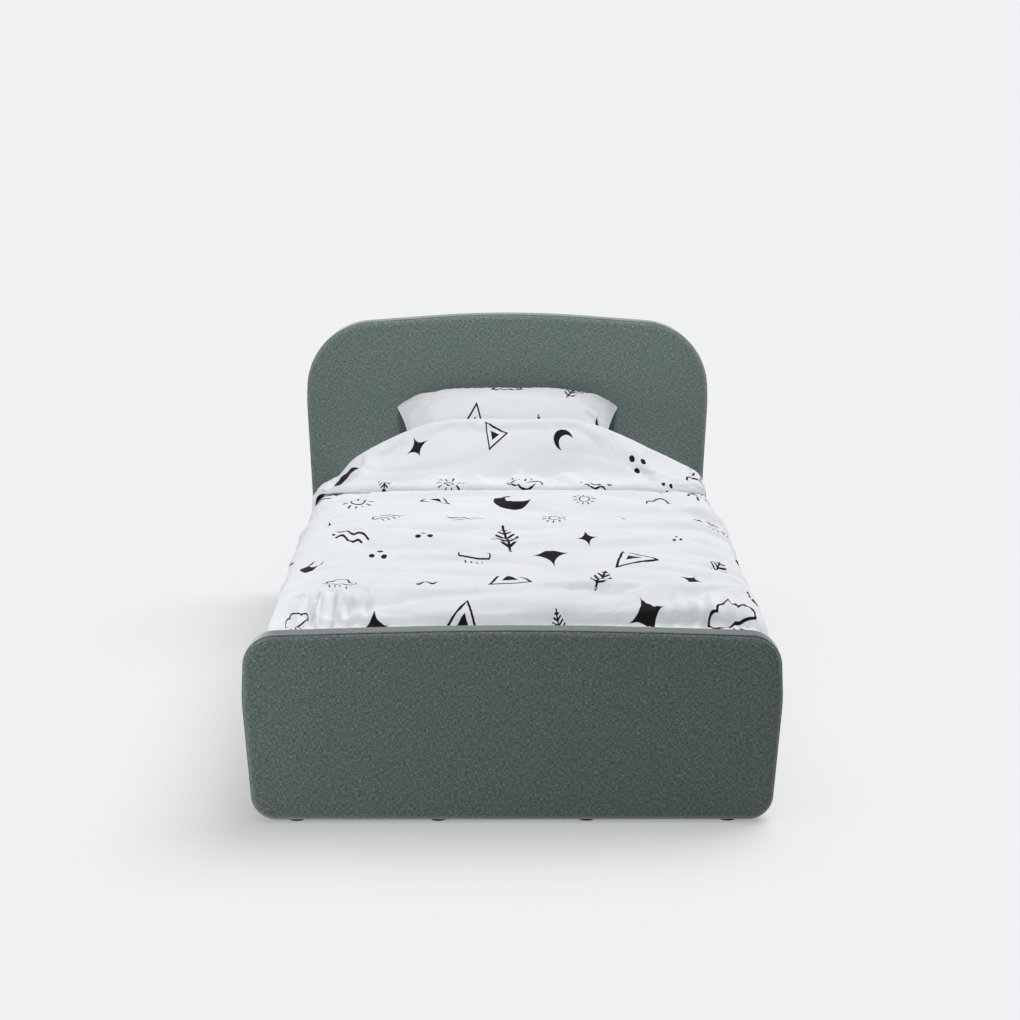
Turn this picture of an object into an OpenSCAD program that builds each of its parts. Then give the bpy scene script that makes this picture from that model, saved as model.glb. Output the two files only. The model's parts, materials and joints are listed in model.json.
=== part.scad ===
// Upholstered toddler bed with rounded head and foot boards, slatted base, mattress and bedding

/* [Mattress] */
// Width of the mattress
mattress_w = 700; // [620:10:800]
// Length of the mattress
mattress_l = 1400; // [1200:10:1600]
// Thickness of the mattress
mattress_t = 110; // [90:5:120]
// Height of the mattress underside above the floor
mattress_z = 155; // [150:5:165]
// Rounding of the mattress corners, seen from above
mattress_r = 45; // [20:5:80]
// Thickness of the mattress cover
mattress_cloth = 2; // [1:0.5:3]
// Height of the zip above the mattress underside
zip_z = 32; // [20:2:50]
// Height of the zip tape
zip_h = 6; // [4:1:10]
// How far the zip stands out of the cover
zip_proud = 0.6; // [0.2:0.1:1]
// Gap between the mattress and each side rail
side_gap = 2.5; // [1.5:0.5:6]
// Gap between the mattress and each end board
end_gap = 3; // [1.5:0.5:8]

/* [Headboard] */
// Height of the headboard
head_h = 571; // [500:1:700]
// Fall of the top edge from its middle to its corners
head_crown = 24; // [10:1:40]
// Length of the rounded stretch at the middle of the top edge, each side
head_crown_run = 150; // [80:10:200]
// How far the widest place reaches past the rails
head_reach = 29; // [15:0.5:60]
// Distance from the top of the headboard down to its widest place
head_widest_drop = 174; // [171:1:241]
// How far the top corners reach past the rails
head_top_reach = 22.5; // [10:0.5:50]
// Radius of the top corners
head_top_r = 134; // [60:2:150]

/* [Footboard] */
// Height of the footboard
foot_h = 293; // [280:0.5:340]
// Fall of the top edge from its middle to its corners
foot_crown = 9; // [3:0.5:15]
// Length of the rounded stretch at the middle of the top edge, each side
foot_crown_run = 220; // [80:10:260]
// How far the widest place reaches past the rails
foot_reach = 25; // [15:0.5:60]
// Distance from the top of the footboard down to its widest place
foot_widest_drop = 107; // [88:0.5:132]
// How far the top corners reach past the rails
foot_top_reach = 20.5; // [12:0.5:50]
// Radius of the top corners
foot_top_r = 48; // [30:2:66]

/* [Both boards] */
// How far the boards reach past the rails at the floor
base_reach = 11; // [4:0.5:20]
// Radius of the bottom corners
base_r = 38; // [25:1:60]
// Radius of the gentle bend at the widest place
waist_r = 260; // [100:10:400]
// Thickness of the plywood core
core_t = 20; // [18:1:24]
// Thickness of the foam on each face and round the edge
foam_t = 12; // [8:1:16]
// Thickness of the cover cloth on the boards and rails
cover_t = 1.5; // [1:0.1:2.5]
// Rounding of the padded edges
edge_round = 12; // [5:1:14]
// Height of the floor glides
glide_h = 3; // [2:0.5:8]
// Radius of the floor glides
glide_r = 12; // [8:1:16]
// Distance from the middle to the outer glides
glide_out = 320; // [220:10:330]
// Distance from the middle to the inner glides
glide_in = 110; // [60:10:180]

/* [Side rails] */
// Height of the underside of the rails above the floor
rail_z = 60; // [45:1:64]
// Height of the rails
rail_h = 140; // [130:1:160]
// Thickness of the rail's wooden core
rail_core_t = 15; // [12:1:22]
// Thickness of the foam on the rail's outer face
rail_foam_t = 2.5; // [1.5:0.5:5]
// Rounding of the rail's padded edges
rail_round = 6; // [3:0.5:8]
// Width of the slat cleat
cleat_w = 25; // [18:1:32]
// Height of the slat cleat
cleat_h = 30; // [20:1:36]
// Number of screws in each cleat
cleat_screws_n = 5; // [3:1:8]

/* [Slats] */
// Number of slats
slat_count = 13; // [10:1:15]
// Width of a slat
slat_w = 60; // [45:1:70]
// Thickness of a slat
slat_t = 14; // [10:1:16]
// Rounding of the slat edges
slat_r = 3; // [1:0.5:4]
// Gap between a slat's ends and the rails
slat_gap = 1; // [0.5:0.5:4]
// Distance from the end of a cleat to the first slat
slat_margin = 2; // [1:1:40]
// Width of the webbing tapes under the slats
tape_w = 25; // [15:1:40]
// Thickness of the webbing tapes
tape_t = 1.2; // [0.8:0.2:2]
// Distance of the tapes from the middle of the bed
tape_x = 240; // [120:5:280]

/* [Hardware] */
// Thickness of the steel corner brackets
bracket_t = 3; // [2:0.5:4]
// Height of the corner brackets
bracket_h = 66; // [56:1:70]
// Length of the bracket's leg on the board
bracket_board_leg = 42; // [36:1:60]
// Length of the bracket's leg on the rail
bracket_rail_leg = 60; // [50:1:90]
// Height of the brackets above the underside of the rails
bracket_up = 8; // [4:1:10]
// Distance between the two bolts of a bracket
bolt_spacing = 38; // [30:1:42]
// Radius of the bolts
bolt_r = 4; // [3:0.5:5]
// Radius of the bolt heads
bolt_head_r = 7; // [6:0.5:9]
// Height of the bolt heads
bolt_head_h = 4; // [3:0.5:6]
// Radius of the barrel of a T-nut
tnut_r = 5.6; // [5.5:0.1:7]
// Radius of the flange of a T-nut
tnut_flange_r = 11; // [9:0.5:14]
// Thickness of the flange of a T-nut
tnut_flange_t = 1.5; // [1:0.1:2]
// Length of the barrel of a T-nut
tnut_l = 13; // [9:1:15]
// Radius of the wood screws
screw_r = 2; // [1.5:0.1:2.5]
// Depth of the wood screws in the last piece they hold
screw_bite = 11; // [6:1:11]
// Radial clearance of screws, bolts and nuts in their holes
hole_gap = 0.05; // [0.02:0.01:0.15]

/* [Pillow] */
// Width of the filled pillow
pillow_w = 440; // [360:5:500]
// Length of the filled pillow
pillow_l = 320; // [280:5:360]
// Height of the crown above the pillow's seam
pillow_up = 56; // [40:2:64]
// Depth of the belly below the pillow's seam
pillow_down = 38; // [30:2:60]
// Thickness of the pillow at its seam
pillow_rim = 4; // [3:0.5:8]
// Lean of the pillow against the headboard
pillow_tilt = 19; // [8:1:24]
// How much the pillow's sides pull in between its corners, as a share of the side
pillow_pull = 0.12; // [0:0.01:0.15]
// Thickness of the pillow case
case_t = 0.8; // [0.5:0.1:1.5]

/* [Duvet] */
// Thickness of the duvet filling on top of the mattress
duvet_loft = 30; // [20:1:34]
// Thickness of the duvet filling where it hangs at the sides
duvet_side_loft = 12; // [6:1:18]
// Thickness of the filling in the turned-back part and under it
fold_loft = 12; // [8:1:16]
// Thickness of the duvet cover cloth
duvet_cloth = 1; // [0.6:0.1:1.5]
// Height of the duvet's side hems above the floor
duvet_hem_z = 150; // [90:5:180]
// Distance from the middle of the bed to the fold at the head end
fold_y = 497; // [440:1:520]
// Length of the turned-back part
turn_back = 238; // [120:2:320]
// Depth of the rounded nose of the fold
fold_nose = 14; // [8:1:18]
// Gap between the duvet and what it lies on
drape_gap = 0.3; // [0.3:0.1:1]
// Inner rounding where the duvet turns down over the mattress edge
drape_r = 24; // [12:1:30]

/* [Hidden] */
seat_gap = 0.3;          // gap under a piece that only rests on another body
tent_run = 110;          // stretch in front of the pillow over which the duvet rises
tent_past = 20;          // stretch past the fold where it would still rise
fold_taper = 120;        // stretch past the turned-back hem over which the filling thins
foot_taper = 160;        // stretch at the foot end over which the filling thins
fold_drape_r = 8;        // inner rounding at the mattress edge where the duvet is folded
fold_hem_lift = 3;       // gap between the folded duvet's side hems and the rails under them
arc_step = 8;            // largest turn between two points of an outline
screw_head_r = 2 * screw_r;
screw_head_h = 1.1 * screw_r;

function slat_name(i) = str("slat_", i < 10 ? "0" : "", i);
SIDES = ["left", "right"];
BOARD_LAYERS = ["core", "foam_front", "foam_back", "foam_edge", "cover_front", "cover_band",
                "cover_back", "glides"];
RAIL_LAYERS = ["core", "foam", "cover", "cleat"];

// Overall sizes that follow from the mattress
inner_w = mattress_w + 2 * side_gap;
inner_l = mattress_l + 2 * end_gap;
board_t = core_t + 2 * foam_t + 2 * cover_t;
rail_t = rail_core_t + rail_foam_t + 2 * cover_t;
rail_in = inner_w / 2;                     // inner face of a rail
rail_out = rail_in + rail_t;               // outer face of a rail
board_in = inner_l / 2;                    // face of a board that looks at the mattress
board_mid = board_in + board_t / 2;
core_in = board_in + cover_t + foam_t;     // faces of the plywood core
core_out = core_in + core_t;
edge = min(edge_round, cover_t + foam_t - 1);
mattress_floor = mattress_z + seat_gap;
mattress_top = mattress_floor + mattress_t;
slat_z = mattress_z - slat_t;              // underside of the slats
bracket_z = rail_z + bracket_up;
bolt_x = rail_in - bracket_board_leg / 2;
bolt_zs = [for (s = [-1, 1]) bracket_z + bracket_h / 2 + s * bolt_spacing / 2];
cleat_half = board_in - bracket_t - bracket_rail_leg - 5;

// Rounded outlines: each corner is [x, z, radius], listed anticlockwise
function unit(v) = v / norm(v);
function corner_points(before, corner, after, inset) =
    let (a = unit([before[0] - corner[0], before[1] - corner[1]]),
         b = unit([after[0] - corner[0], after[1] - corner[1]]),
         half = acos(a * b) / 2,
         centre = [corner[0], corner[1]] + unit(a + b) * corner[2] / sin(half),
         start = [corner[0], corner[1]] + a * corner[2] / tan(half) - centre,
         from = atan2(start[1], start[0]),
         turn = 180 - 2 * half,
         steps = max(2, ceil(turn / arc_step)))
    [for (k = [0 : steps])
        centre + (corner[2] - inset) * [cos(from + turn * k / steps), sin(from + turn * k / steps)]];
function outline(corners, inset = 0) =
    let (n = len(corners))
    [for (i = [0 : n - 1], p = corner_points(corners[(i + n - 1) % n], corners[i],
                                            corners[(i + 1) % n], inset)) p];
function box_corners(w, l, r) =
    [[w / 2, -l / 2, r], [w / 2, l / 2, r], [-w / 2, l / 2, r], [-w / 2, -l / 2, r]];

// Outline of a board, from its heights and from how far it reaches past the rails
function board_corners(h, crown, run, reach, widest_drop, top_reach, top_r) =
    let (corner_x = rail_out + top_reach,
         corner_z = h - crown,
         share = run / (2 * corner_x),
         peak_z = (h - corner_z * share) / (1 - share),
         crown_r = run * corner_x / (peak_z - corner_z),
         right = [[rail_out + base_reach, glide_h, base_r],
                  [rail_out + reach, h - widest_drop, waist_r],
                  [corner_x, corner_z, top_r]])
    concat(right, [[0, peak_z, crown_r]], [for (i = [2 : -1 : 0]) [-right[i][0], right[i][1], right[i][2]]]);
HEAD = board_corners(head_h, head_crown, head_crown_run, head_reach, head_widest_drop,
                     head_top_reach, head_top_r);
FOOT = board_corners(foot_h, foot_crown, foot_crown_run, foot_reach, foot_widest_drop,
                     foot_top_reach, foot_top_r);

// A closed solid through rings of points, with a flat cap on the first and the last ring.
// With turn set, each ring runs out along one path and back along a second one with as many points,
// and both paths double back on themselves at that step.
module loft(rings, turn = 0) {
    n = len(rings[0]);
    points = [for (ring = rings, p = ring) p];
    sides = [for (i = [0 : len(rings) - 2], j = [0 : n - 1])
        let (a = i * n + j, b = i * n + (j + 1) % n, beyond = min(j, n - 2 - j) >= turn)
        each turn > 0 && beyond != (j >= n / 2) ? [[a, b, a + n], [b, b + n, a + n]]
                                                : [[a, b, b + n], [a, b + n, a + n]]];
    cap = turn > 0 ? [for (j = [0 : n / 2 - 2]) each [[j, j + 1, n - 2 - j], [j, n - 2 - j, n - 1 - j]]]
                   : [[for (j = [0 : n - 1]) j]];
    last = [for (face = cap) [for (j = face) (len(rings) - 1) * n + j]];
    first = [for (face = cap) [for (k = [len(face) - 1 : -1 : 0]) face[k]]];
    polyhedron(points, concat(sides, first, last));
}

// An upright plate with the given outline between two places along the bed
module plate(points, y0, y1) {
    translate([0, y1, 0])
        rotate([90, 0, 0])
            linear_extrude(y1 - y0)
                polygon(points);
}

// A layer of a board: steps are [inset, depth below the face], with the face at y and its depth along way
module padded_layer(corners, steps, y, way) {
    rings = [for (s = steps) [for (p = outline(corners, s[0])) [p[0], y + way * s[1], p[1]]]];
    onwards = way * (steps[len(steps) - 1][1] - steps[0][1]) > 0;
    loft(onwards ? rings : [for (i = [len(rings) - 1 : -1 : 0]) rings[i]]);
}

// Bolt holes of a board, along the bed
module bolt_holes(r, y0, y1) {
    for (side = [-1, 1], z = bolt_zs)
        translate([side * bolt_x, y0, z])
            rotate([-90, 0, 0])
                cylinder(r = r, h = y1 - y0, $fn = 32);
}

// ---- Boards: drawn at the head end, mirrored for the foot end ----
module board_core(corners) {
    difference() {
        plate(outline(corners, cover_t + foam_t), core_in, core_out);
        bolt_holes(bolt_r + hole_gap, core_in - 1, core_out + 1);
        bolt_holes(tnut_r + hole_gap, core_out - tnut_flange_t - tnut_l, core_out + 1);
        bolt_holes(tnut_flange_r + hole_gap, core_out - tnut_flange_t, core_out + 1);
    }
}

// Steps of the rounded edge at a distance below the face of the cover
function edge_steps(down) =
    [for (a = [90, 45, 0]) [edge - (edge - down) * cos(a), edge - (edge - down) * sin(a)]];

module board_foam(corners, y, way) {
    steps = concat(edge_steps(cover_t), [[cover_t, cover_t + foam_t]]);
    difference() {
        padded_layer(corners, steps, y, way);
        if (way > 0)
            bolt_holes(bolt_r + hole_gap, board_in, core_in + 1);
    }
}

module board_foam_edge(corners) {
    difference() {
        plate(outline(corners, cover_t), core_in, core_out);
        plate(outline(corners, cover_t + foam_t), core_in - 1, core_out + 1);
    }
}

module board_cover(corners, y, way) {
    inner = edge_steps(cover_t);
    outer = edge_steps(0);
    steps = [inner[0], inner[1], inner[2], outer[2], outer[1], outer[0]];
    difference() {
        padded_layer(corners, steps, y, way);
        if (way > 0)
            bolt_holes(bolt_r + hole_gap, board_in - 1, board_in + cover_t + 1);
    }
}

module board_band(corners) {
    difference() {
        plate(outline(corners, 0), board_in + edge, board_in + board_t - edge);
        plate(outline(corners, cover_t), board_in + edge - 1, board_in + board_t - edge + 1);
    }
}

module board_glides() {
    for (x = [-glide_out, -glide_in, glide_in, glide_out])
        translate([x, board_mid, 0])
            cylinder(r = glide_r, h = glide_h, $fn = 32);
}

module board_layer(layer, corners) {
    if (layer == "core")
        color("burlywood") board_core(corners);
    if (layer == "foam_front")
        color("lightyellow") board_foam(corners, board_in, 1);
    if (layer == "foam_back")
        color("lightyellow") board_foam(corners, board_in + board_t, -1);
    if (layer == "foam_edge")
        color("lightyellow") board_foam_edge(corners);
    if (layer == "cover_front")
        color("#55645f") board_cover(corners, board_in, 1);
    if (layer == "cover_back")
        color("#55645f") board_cover(corners, board_in + board_t, -1);
    if (layer == "cover_band")
        color("#4c5a55") board_band(corners);
    if (layer == "glides")
        color("dimgray") board_glides();
}

module foot_layer(layer) {
    mirror([0, 1, 0]) board_layer(layer, FOOT);
}

// ---- Side rails: drawn on the right, mirrored for the left ----
function rail_profile(inset) =
    [for (p = outline(box_corners(rail_t, rail_h, rail_round + cover_t), inset))
        [p[0] + rail_in + rail_t / 2, p[1] + rail_z + rail_h / 2]];

// Screw holes or pins across the bed at a list of [y, z], from x0 outwards
module cross_pins(places, r, x0, x1) {
    for (p = places)
        translate([x0, p[0], p[1]])
            rotate([0, 90, 0])
                cylinder(r = r, h = x1 - x0, $fn = 24);
}

bracket_screw_places = [for (end = [-1, 1], k = [0.3, 0.8], z = [0.25, 0.75])
    [end * (board_in - bracket_rail_leg * k), bracket_z + bracket_h * z]];
cleat_screw_places = [for (i = [0 : cleat_screws_n - 1])
    [(cleat_half - slat_margin - slat_w) * (2 * i / (cleat_screws_n - 1) - 1), slat_z - cleat_h / 2]];
rail_screw_places = concat(bracket_screw_places, cleat_screw_places);

module rail_inside() {
    plate(rail_profile(cover_t), -board_in, board_in);
}

module rail_core() {
    difference() {
        intersection() {
            rail_inside();
            translate([rail_in, -board_in, rail_z])
                cube([cover_t + rail_core_t, 2 * board_in, rail_h]);
        }
        cross_pins(rail_screw_places, screw_r + hole_gap, rail_in, rail_in + cover_t + screw_bite + 0.5);
    }
}

module rail_foam() {
    intersection() {
        rail_inside();
        translate([rail_in + cover_t + rail_core_t, -board_in, rail_z])
            cube([rail_foam_t + cover_t, 2 * board_in, rail_h]);
    }
}

module rail_cover() {
    difference() {
        plate(rail_profile(0), -board_in, board_in);
        plate(rail_profile(cover_t), -board_in - 1, board_in + 1);
        cross_pins(rail_screw_places, screw_r + hole_gap, rail_in - 1, rail_in + cover_t + 1);
    }
}

module rail_cleat() {
    difference() {
        translate([rail_in - cleat_w, -cleat_half, slat_z - cleat_h])
            cube([cleat_w, 2 * cleat_half, cleat_h]);
        cross_pins(cleat_screw_places, screw_r + hole_gap, rail_in - cleat_w - 1, rail_in + 1);
        slat_pins(screw_r + hole_gap, slat_z - screw_bite - 0.5, slat_z + 1);
    }
}

module rail_layer(layer) {
    if (layer == "core")
        color("burlywood") rail_core();
    if (layer == "foam")
        color("lightyellow") rail_foam();
    if (layer == "cover")
        color("#55645f") rail_cover();
    if (layer == "cleat")
        color("wheat") rail_cleat();
}

module on_side(side) {
    mirror([side == "left" ? 1 : 0, 0, 0]) children();
}

module both_sides() {
    for (side = SIDES)
        on_side(side) children();
}

// A screw with its head at x0 that points outwards to x1
module cross_screws(places, x0, x1) {
    cross_pins(places, screw_r, x0, x1);
    cross_pins(places, screw_head_r, x0 - screw_head_h, x0);
}

module cleat_screws() {
    color("silver")
        both_sides()
            cross_screws(cleat_screw_places, rail_in - cleat_w, rail_in + cover_t + screw_bite);
}

module bracket_screws() {
    color("silver")
        both_sides()
            cross_screws(bracket_screw_places, rail_in - bracket_t, rail_in + cover_t + screw_bite);
}

// ---- Corner brackets, bolts and nuts ----
module corner_bracket() {
    difference() {
        union() {
            translate([rail_in - bracket_board_leg, board_in - bracket_t, bracket_z])
                cube([bracket_board_leg, bracket_t, bracket_h]);
            translate([rail_in - bracket_t, board_in - bracket_rail_leg, bracket_z])
                cube([bracket_t, bracket_rail_leg, bracket_h]);
        }
        bolt_holes(bolt_r + hole_gap, board_in - bracket_t - 1, board_in + 1);
        cross_pins(bracket_screw_places, screw_r + hole_gap, rail_in - bracket_t - 1, rail_in + 1);
    }
}

module both_ends() {
    for (end = [0, 1])
        mirror([0, end, 0]) children();
}

module corner_brackets() {
    color("gainsboro")
        both_ends()
            both_sides()
                corner_bracket();
}

module bracket_bolts() {
    head_y = board_in - bracket_t;
    color("silver")
        both_ends()
            union() {
                bolt_holes(bolt_r, head_y - 0.5, core_out - tnut_flange_t);
                bolt_holes(bolt_head_r, head_y - bolt_head_h, head_y);
            }
}

module board_tnuts() {
    color("gold")
        both_ends()
            difference() {
                union() {
                    bolt_holes(tnut_r, core_out - tnut_flange_t - tnut_l, core_out);
                    bolt_holes(tnut_flange_r, core_out - tnut_flange_t, core_out);
                }
                bolt_holes(bolt_r + hole_gap, core_in, core_out + 1);
            }
}

// ---- Slatted base ----
slat_l = inner_w - 2 * slat_gap;
slat_pitch = (2 * (cleat_half - slat_margin) - slat_w) / (slat_count - 1);
function slat_y(i) = -cleat_half + slat_margin + slat_w / 2 + (i - 1) * slat_pitch;
slat_screw_x = rail_in - cleat_w / 2;
slat_screw_ys = [slat_y(1), slat_y(slat_count)];

module slat_pins(r, z0, z1) {
    for (y = slat_screw_ys)
        translate([slat_screw_x, y, z0])
            cylinder(r = r, h = z1 - z0, $fn = 24);
}

module slat(i) {
    color("navajowhite")
        difference() {
            translate([-slat_l / 2, slat_y(i), slat_z + slat_t / 2])
                rotate([90, 0, 90])
                    linear_extrude(slat_l)
                        polygon(outline(box_corners(slat_w, slat_t, slat_r)));
            both_sides()
                union() {
                    slat_pins(screw_r + hole_gap, slat_z - 1, mattress_z + 1);
                    slat_pins(screw_head_r + hole_gap, mattress_z - screw_head_h, mattress_z + 1);
                }
        }
}

module slat_tapes() {
    color("ivory")
        both_sides()
            translate([tape_x - tape_w / 2, slat_y(1) - slat_w / 2 + slat_r, slat_z - tape_t])
                cube([tape_w, slat_y(slat_count) - slat_y(1) + slat_w - 2 * slat_r, tape_t]);
}

module slat_screws() {
    color("silver")
        both_sides()
            union() {
                slat_pins(screw_r, slat_z - screw_bite, mattress_z - screw_head_h / 2);
                slat_pins(screw_head_r, mattress_z - screw_head_h, mattress_z);
            }
}

// ---- Mattress ----
module mattress_slab(inset, z0, z1) {
    translate([0, 0, z0])
        linear_extrude(z1 - z0)
            polygon(outline(box_corners(mattress_w, mattress_l, mattress_r), inset));
}

module mattress_core() {
    color("lightyellow")
        mattress_slab(mattress_cloth, mattress_floor + mattress_cloth, mattress_top - mattress_cloth);
}

module mattress_cover_top() {
    color("white")
        difference() {
            mattress_slab(0, mattress_floor + zip_z + zip_h, mattress_top);
            mattress_slab(mattress_cloth, mattress_floor, mattress_top - mattress_cloth);
        }
}

module mattress_cover_base() {
    color("whitesmoke")
        difference() {
            mattress_slab(0, mattress_floor, mattress_floor + zip_z);
            mattress_slab(mattress_cloth, mattress_floor + mattress_cloth, mattress_top);
        }
}

module mattress_zip() {
    color("lightgray")
        difference() {
            mattress_slab(-zip_proud, mattress_floor + zip_z, mattress_floor + zip_z + zip_h);
            mattress_slab(mattress_cloth, mattress_floor, mattress_top);
        }
}

// ---- Pillow: a crowned form on a slope, its sides pulled in between its corners ----
PILLOW_S = [for (i = [0 : 12]) sin(90 * (i / 6 - 1))];
PILLOW_T = [for (i = [0 : 10]) sin(90 * (i / 5 - 1))];
function plump(s) = sqrt(max(0, 1 - pow(abs(s), 3.2)));
function pillow_crown(s, t) = pillow_rim / 2 + pillow_up * plump(s) * plump(t) * (1 + 0.75 * t);
function pillow_belly(s, t) = -pillow_rim / 2 - pillow_down * plump(s) * plump(t);
function pillow_local(s, t, n) =
    let (along = pillow_l / 2 * t * (1 - pillow_pull / 2 * (1 - s * s)))
    [pillow_w / 2 * s * (1 - pillow_pull * (1 - t * t)),
     along * cos(pillow_tilt) - n * sin(pillow_tilt),
     along * sin(pillow_tilt) + n * cos(pillow_tilt)];
pillow_low = min([for (s = PILLOW_S, t = PILLOW_T) pillow_local(s, t, pillow_belly(s, t))[2]]);
pillow_back = max([for (s = PILLOW_S, t = PILLOW_T, n = [pillow_belly(s, t), pillow_crown(s, t)])
    pillow_local(s, t, n)[1]]);
pillow_at = [0, board_in - seat_gap - pillow_back, mattress_top + seat_gap - pillow_low];
function pillow_point(s, t, n) = pillow_at + pillow_local(s, t, n);

// A pillow layer between two heights, 0 to 3: belly, case inside the belly, inside the crown, crown
function pillow_level(s, t, level) =
    level == 0 ? pillow_belly(s, t) :
    level == 1 ? pillow_belly(s, t) + case_t :
    level == 2 ? pillow_crown(s, t) - case_t : pillow_crown(s, t);

module pillow_layer(low, high) {
    ns = len(PILLOW_S);
    nt = len(PILLOW_T);
    points = [for (level = [low, high], t = PILLOW_T, s = PILLOW_S)
        pillow_point(s, t, pillow_level(s, t, level))];
    top = ns * nt;
    under = [for (j = [0 : nt - 2], i = [0 : ns - 2])
        let (a = j * ns + i)
        each [[a, a + 1, a + ns + 1], [a, a + ns + 1, a + ns]]];
    over = [for (f = under) [f[0] + top, f[2] + top, f[1] + top]];
    rim = concat([for (i = [0 : ns - 2]) i], [for (j = [0 : nt - 2]) j * ns + ns - 1],
                 [for (i = [ns - 1 : -1 : 1]) (nt - 1) * ns + i], [for (j = [nt - 1 : -1 : 1]) j * ns]);
    wall = [for (k = [0 : len(rim) - 1])
        let (a = rim[k], b = rim[(k + 1) % len(rim)])
        each [[a, a + top, b + top], [a, b + top, b]]];
    polyhedron(points, concat(under, over, wall));
}

// ---- Duvet: one padded sheet draped over mattress and pillow, its head end turned back ----
function smooth(a, b, v) = let (t = min(1, max(0, (v - a) / (b - a)))) t * t * (3 - 2 * t);
function mix(a, b, t) = a + (b - a) * t;
drape_z = mattress_top + drape_gap;                    // underside on the mattress
drape_x = max(mattress_w / 2, rail_out + drape_gap - drape_r);
hem_y = fold_y - turn_back;
duvet_foot = -board_in + 1;
pillow_front = pillow_at[1] - pillow_l / 2 * cos(pillow_tilt);
pillow_top_at_fold = max([for (t = [-1 : 0.02 : 1])
    let (p = pillow_point(0, t, pillow_crown(0, t))) if (p[1] < fold_y + fold_nose) p[2]]);
tent_h = max(0, pillow_top_at_fold + 1 - drape_z);     // rise of the duvet over the pillow
function tent(x, y) =
    tent_h * smooth(pillow_front - tent_run, fold_y + tent_past, y)
    * (1 - smooth(0.215 * pillow_w, 0.9 * pillow_w, abs(x)));

// Places across the duvet: top, turn at the mattress edge, side
DRAPE_TOP = 7;
DRAPE_TURN = 3;
DRAPE_SIDE = 2;
DRAPE_N = DRAPE_TOP + DRAPE_TURN + DRAPE_SIDE;

// Towards the fold the side hems rise above the rails, and past that the sides draw in over them
fold_hem_z = rail_z + rail_h + fold_hem_lift;
function lift(y) = smooth(hem_y - 0.5 * turn_back, hem_y + 0.1 * turn_back, y);
function draw_in(y) = smooth(hem_y + 0.3 * turn_back, hem_y + 0.8 * turn_back, y);
function side_hem(y) = mix(duvet_hem_z, max(duvet_hem_z, fold_hem_z), lift(y));
function drape(place, y, out) =
    let (k = abs(place), way = sign(place), x = drape_x * k / DRAPE_TOP,
         r = mix(drape_r, fold_drape_r, draw_in(y)),
         slope = (tent(x + 1, y) - tent(x - 1, y)) / 2,
         a = 90 * (1 - (k - DRAPE_TOP) / DRAPE_TURN),
         down = (k - DRAPE_TOP - DRAPE_TURN) / DRAPE_SIDE)
    k == 0 ? [0, y, drape_z + tent(0, y) + out] :
    k < DRAPE_TOP ? [way * (x - slope * out / norm([slope, 1])), y,
                     drape_z + tent(x, y) + out / norm([slope, 1])] :
    k <= DRAPE_TOP + DRAPE_TURN ? [way * (drape_x + (r + out) * cos(a)), y,
                                   drape_z - r + (r + out) * sin(a)] :
    [way * (drape_x + r + out), y, mix(drape_z - r, side_hem(y), down)];

// Filling thickness: full on top, thinner at the sides, at the foot end and under the turned part
function on_top(place) = 1 - smooth(DRAPE_TOP - 2.5, DRAPE_TOP + DRAPE_TURN, abs(place));
function main_fill(place, y) =
    let (near_fold = smooth(hem_y, hem_y + fold_taper, y),
         near_foot = smooth(duvet_foot, duvet_foot + foot_taper, y),
         top = mix(mix(0.7, 1, near_foot) * duvet_loft, fold_loft, near_fold))
    mix(mix(duvet_side_loft, fold_loft / 2, lift(y)), top, on_top(place));
function turned_fill(place) = mix(fold_loft / 2, fold_loft, on_top(place));

// Surfaces of the duvet, from its underside in: under cloth, filling, face cloth, slit of the fold.
// Each runs up the main part, round the fold's nose and back along the turned part.
slit = 1;
nose_depth = [fold_nose, fold_nose - duvet_cloth, duvet_cloth + slit / 2, slit / 2];
function main_d(level, place, y) =
    let (fill = main_fill(place, y))
    [0, duvet_cloth, duvet_cloth + fill, 2 * duvet_cloth + fill][level];
function turned_d(level, place, y) =
    let (under = main_d(3, place, y) + slit, fill = turned_fill(place))
    [under + 2 * duvet_cloth + fill, under + duvet_cloth + fill, under + duvet_cloth, under][level];

// The turned part's hem runs back towards the fold at its ends
MAIN_STEPS = 9;
TURN_STEPS = 4;
NOSE_ANGLES = [-50, 0, 50];
function hem_at(place) =
    hem_y + 0.65 * turn_back * smooth(DRAPE_TOP - 2, DRAPE_TOP + DRAPE_TURN, abs(place));
function turn_ys(place) = [for (i = [0 : TURN_STEPS]) mix(fold_y, hem_at(place), i / TURN_STEPS)];
function main_ys(place) = concat(
    [for (i = [0 : MAIN_STEPS - 1]) mix(duvet_foot, hem_at(place), i / MAIN_STEPS)],
    [for (i = [TURN_STEPS : -1 : 0]) turn_ys(place)[i]]);

function duvet_path(level, place) =
    let (d0 = main_d(level, place, fold_y), d1 = turned_d(level, place, fold_y))
    concat([for (y = main_ys(place)) drape(place, y, main_d(level, place, y))],
           [for (a = NOSE_ANGLES)
               drape(place, fold_y + nose_depth[level] * cos(a), (d0 + d1) / 2 + (d1 - d0) / 2 * sin(a))],
           [for (y = turn_ys(place)) drape(place, y, turned_d(level, place, y))]);

// The solid between one surface of the duvet and the next one in
module duvet_layer(level) {
    rings = [for (place = [DRAPE_N : -1 : -DRAPE_N])
        let (outer = duvet_path(level, place), inner = duvet_path(level + 1, place))
        concat(outer, [for (i = [len(inner) - 1 : -1 : 0]) inner[i]])];
    loft(rings, turn = MAIN_STEPS + TURN_STEPS + 2);
}

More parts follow.
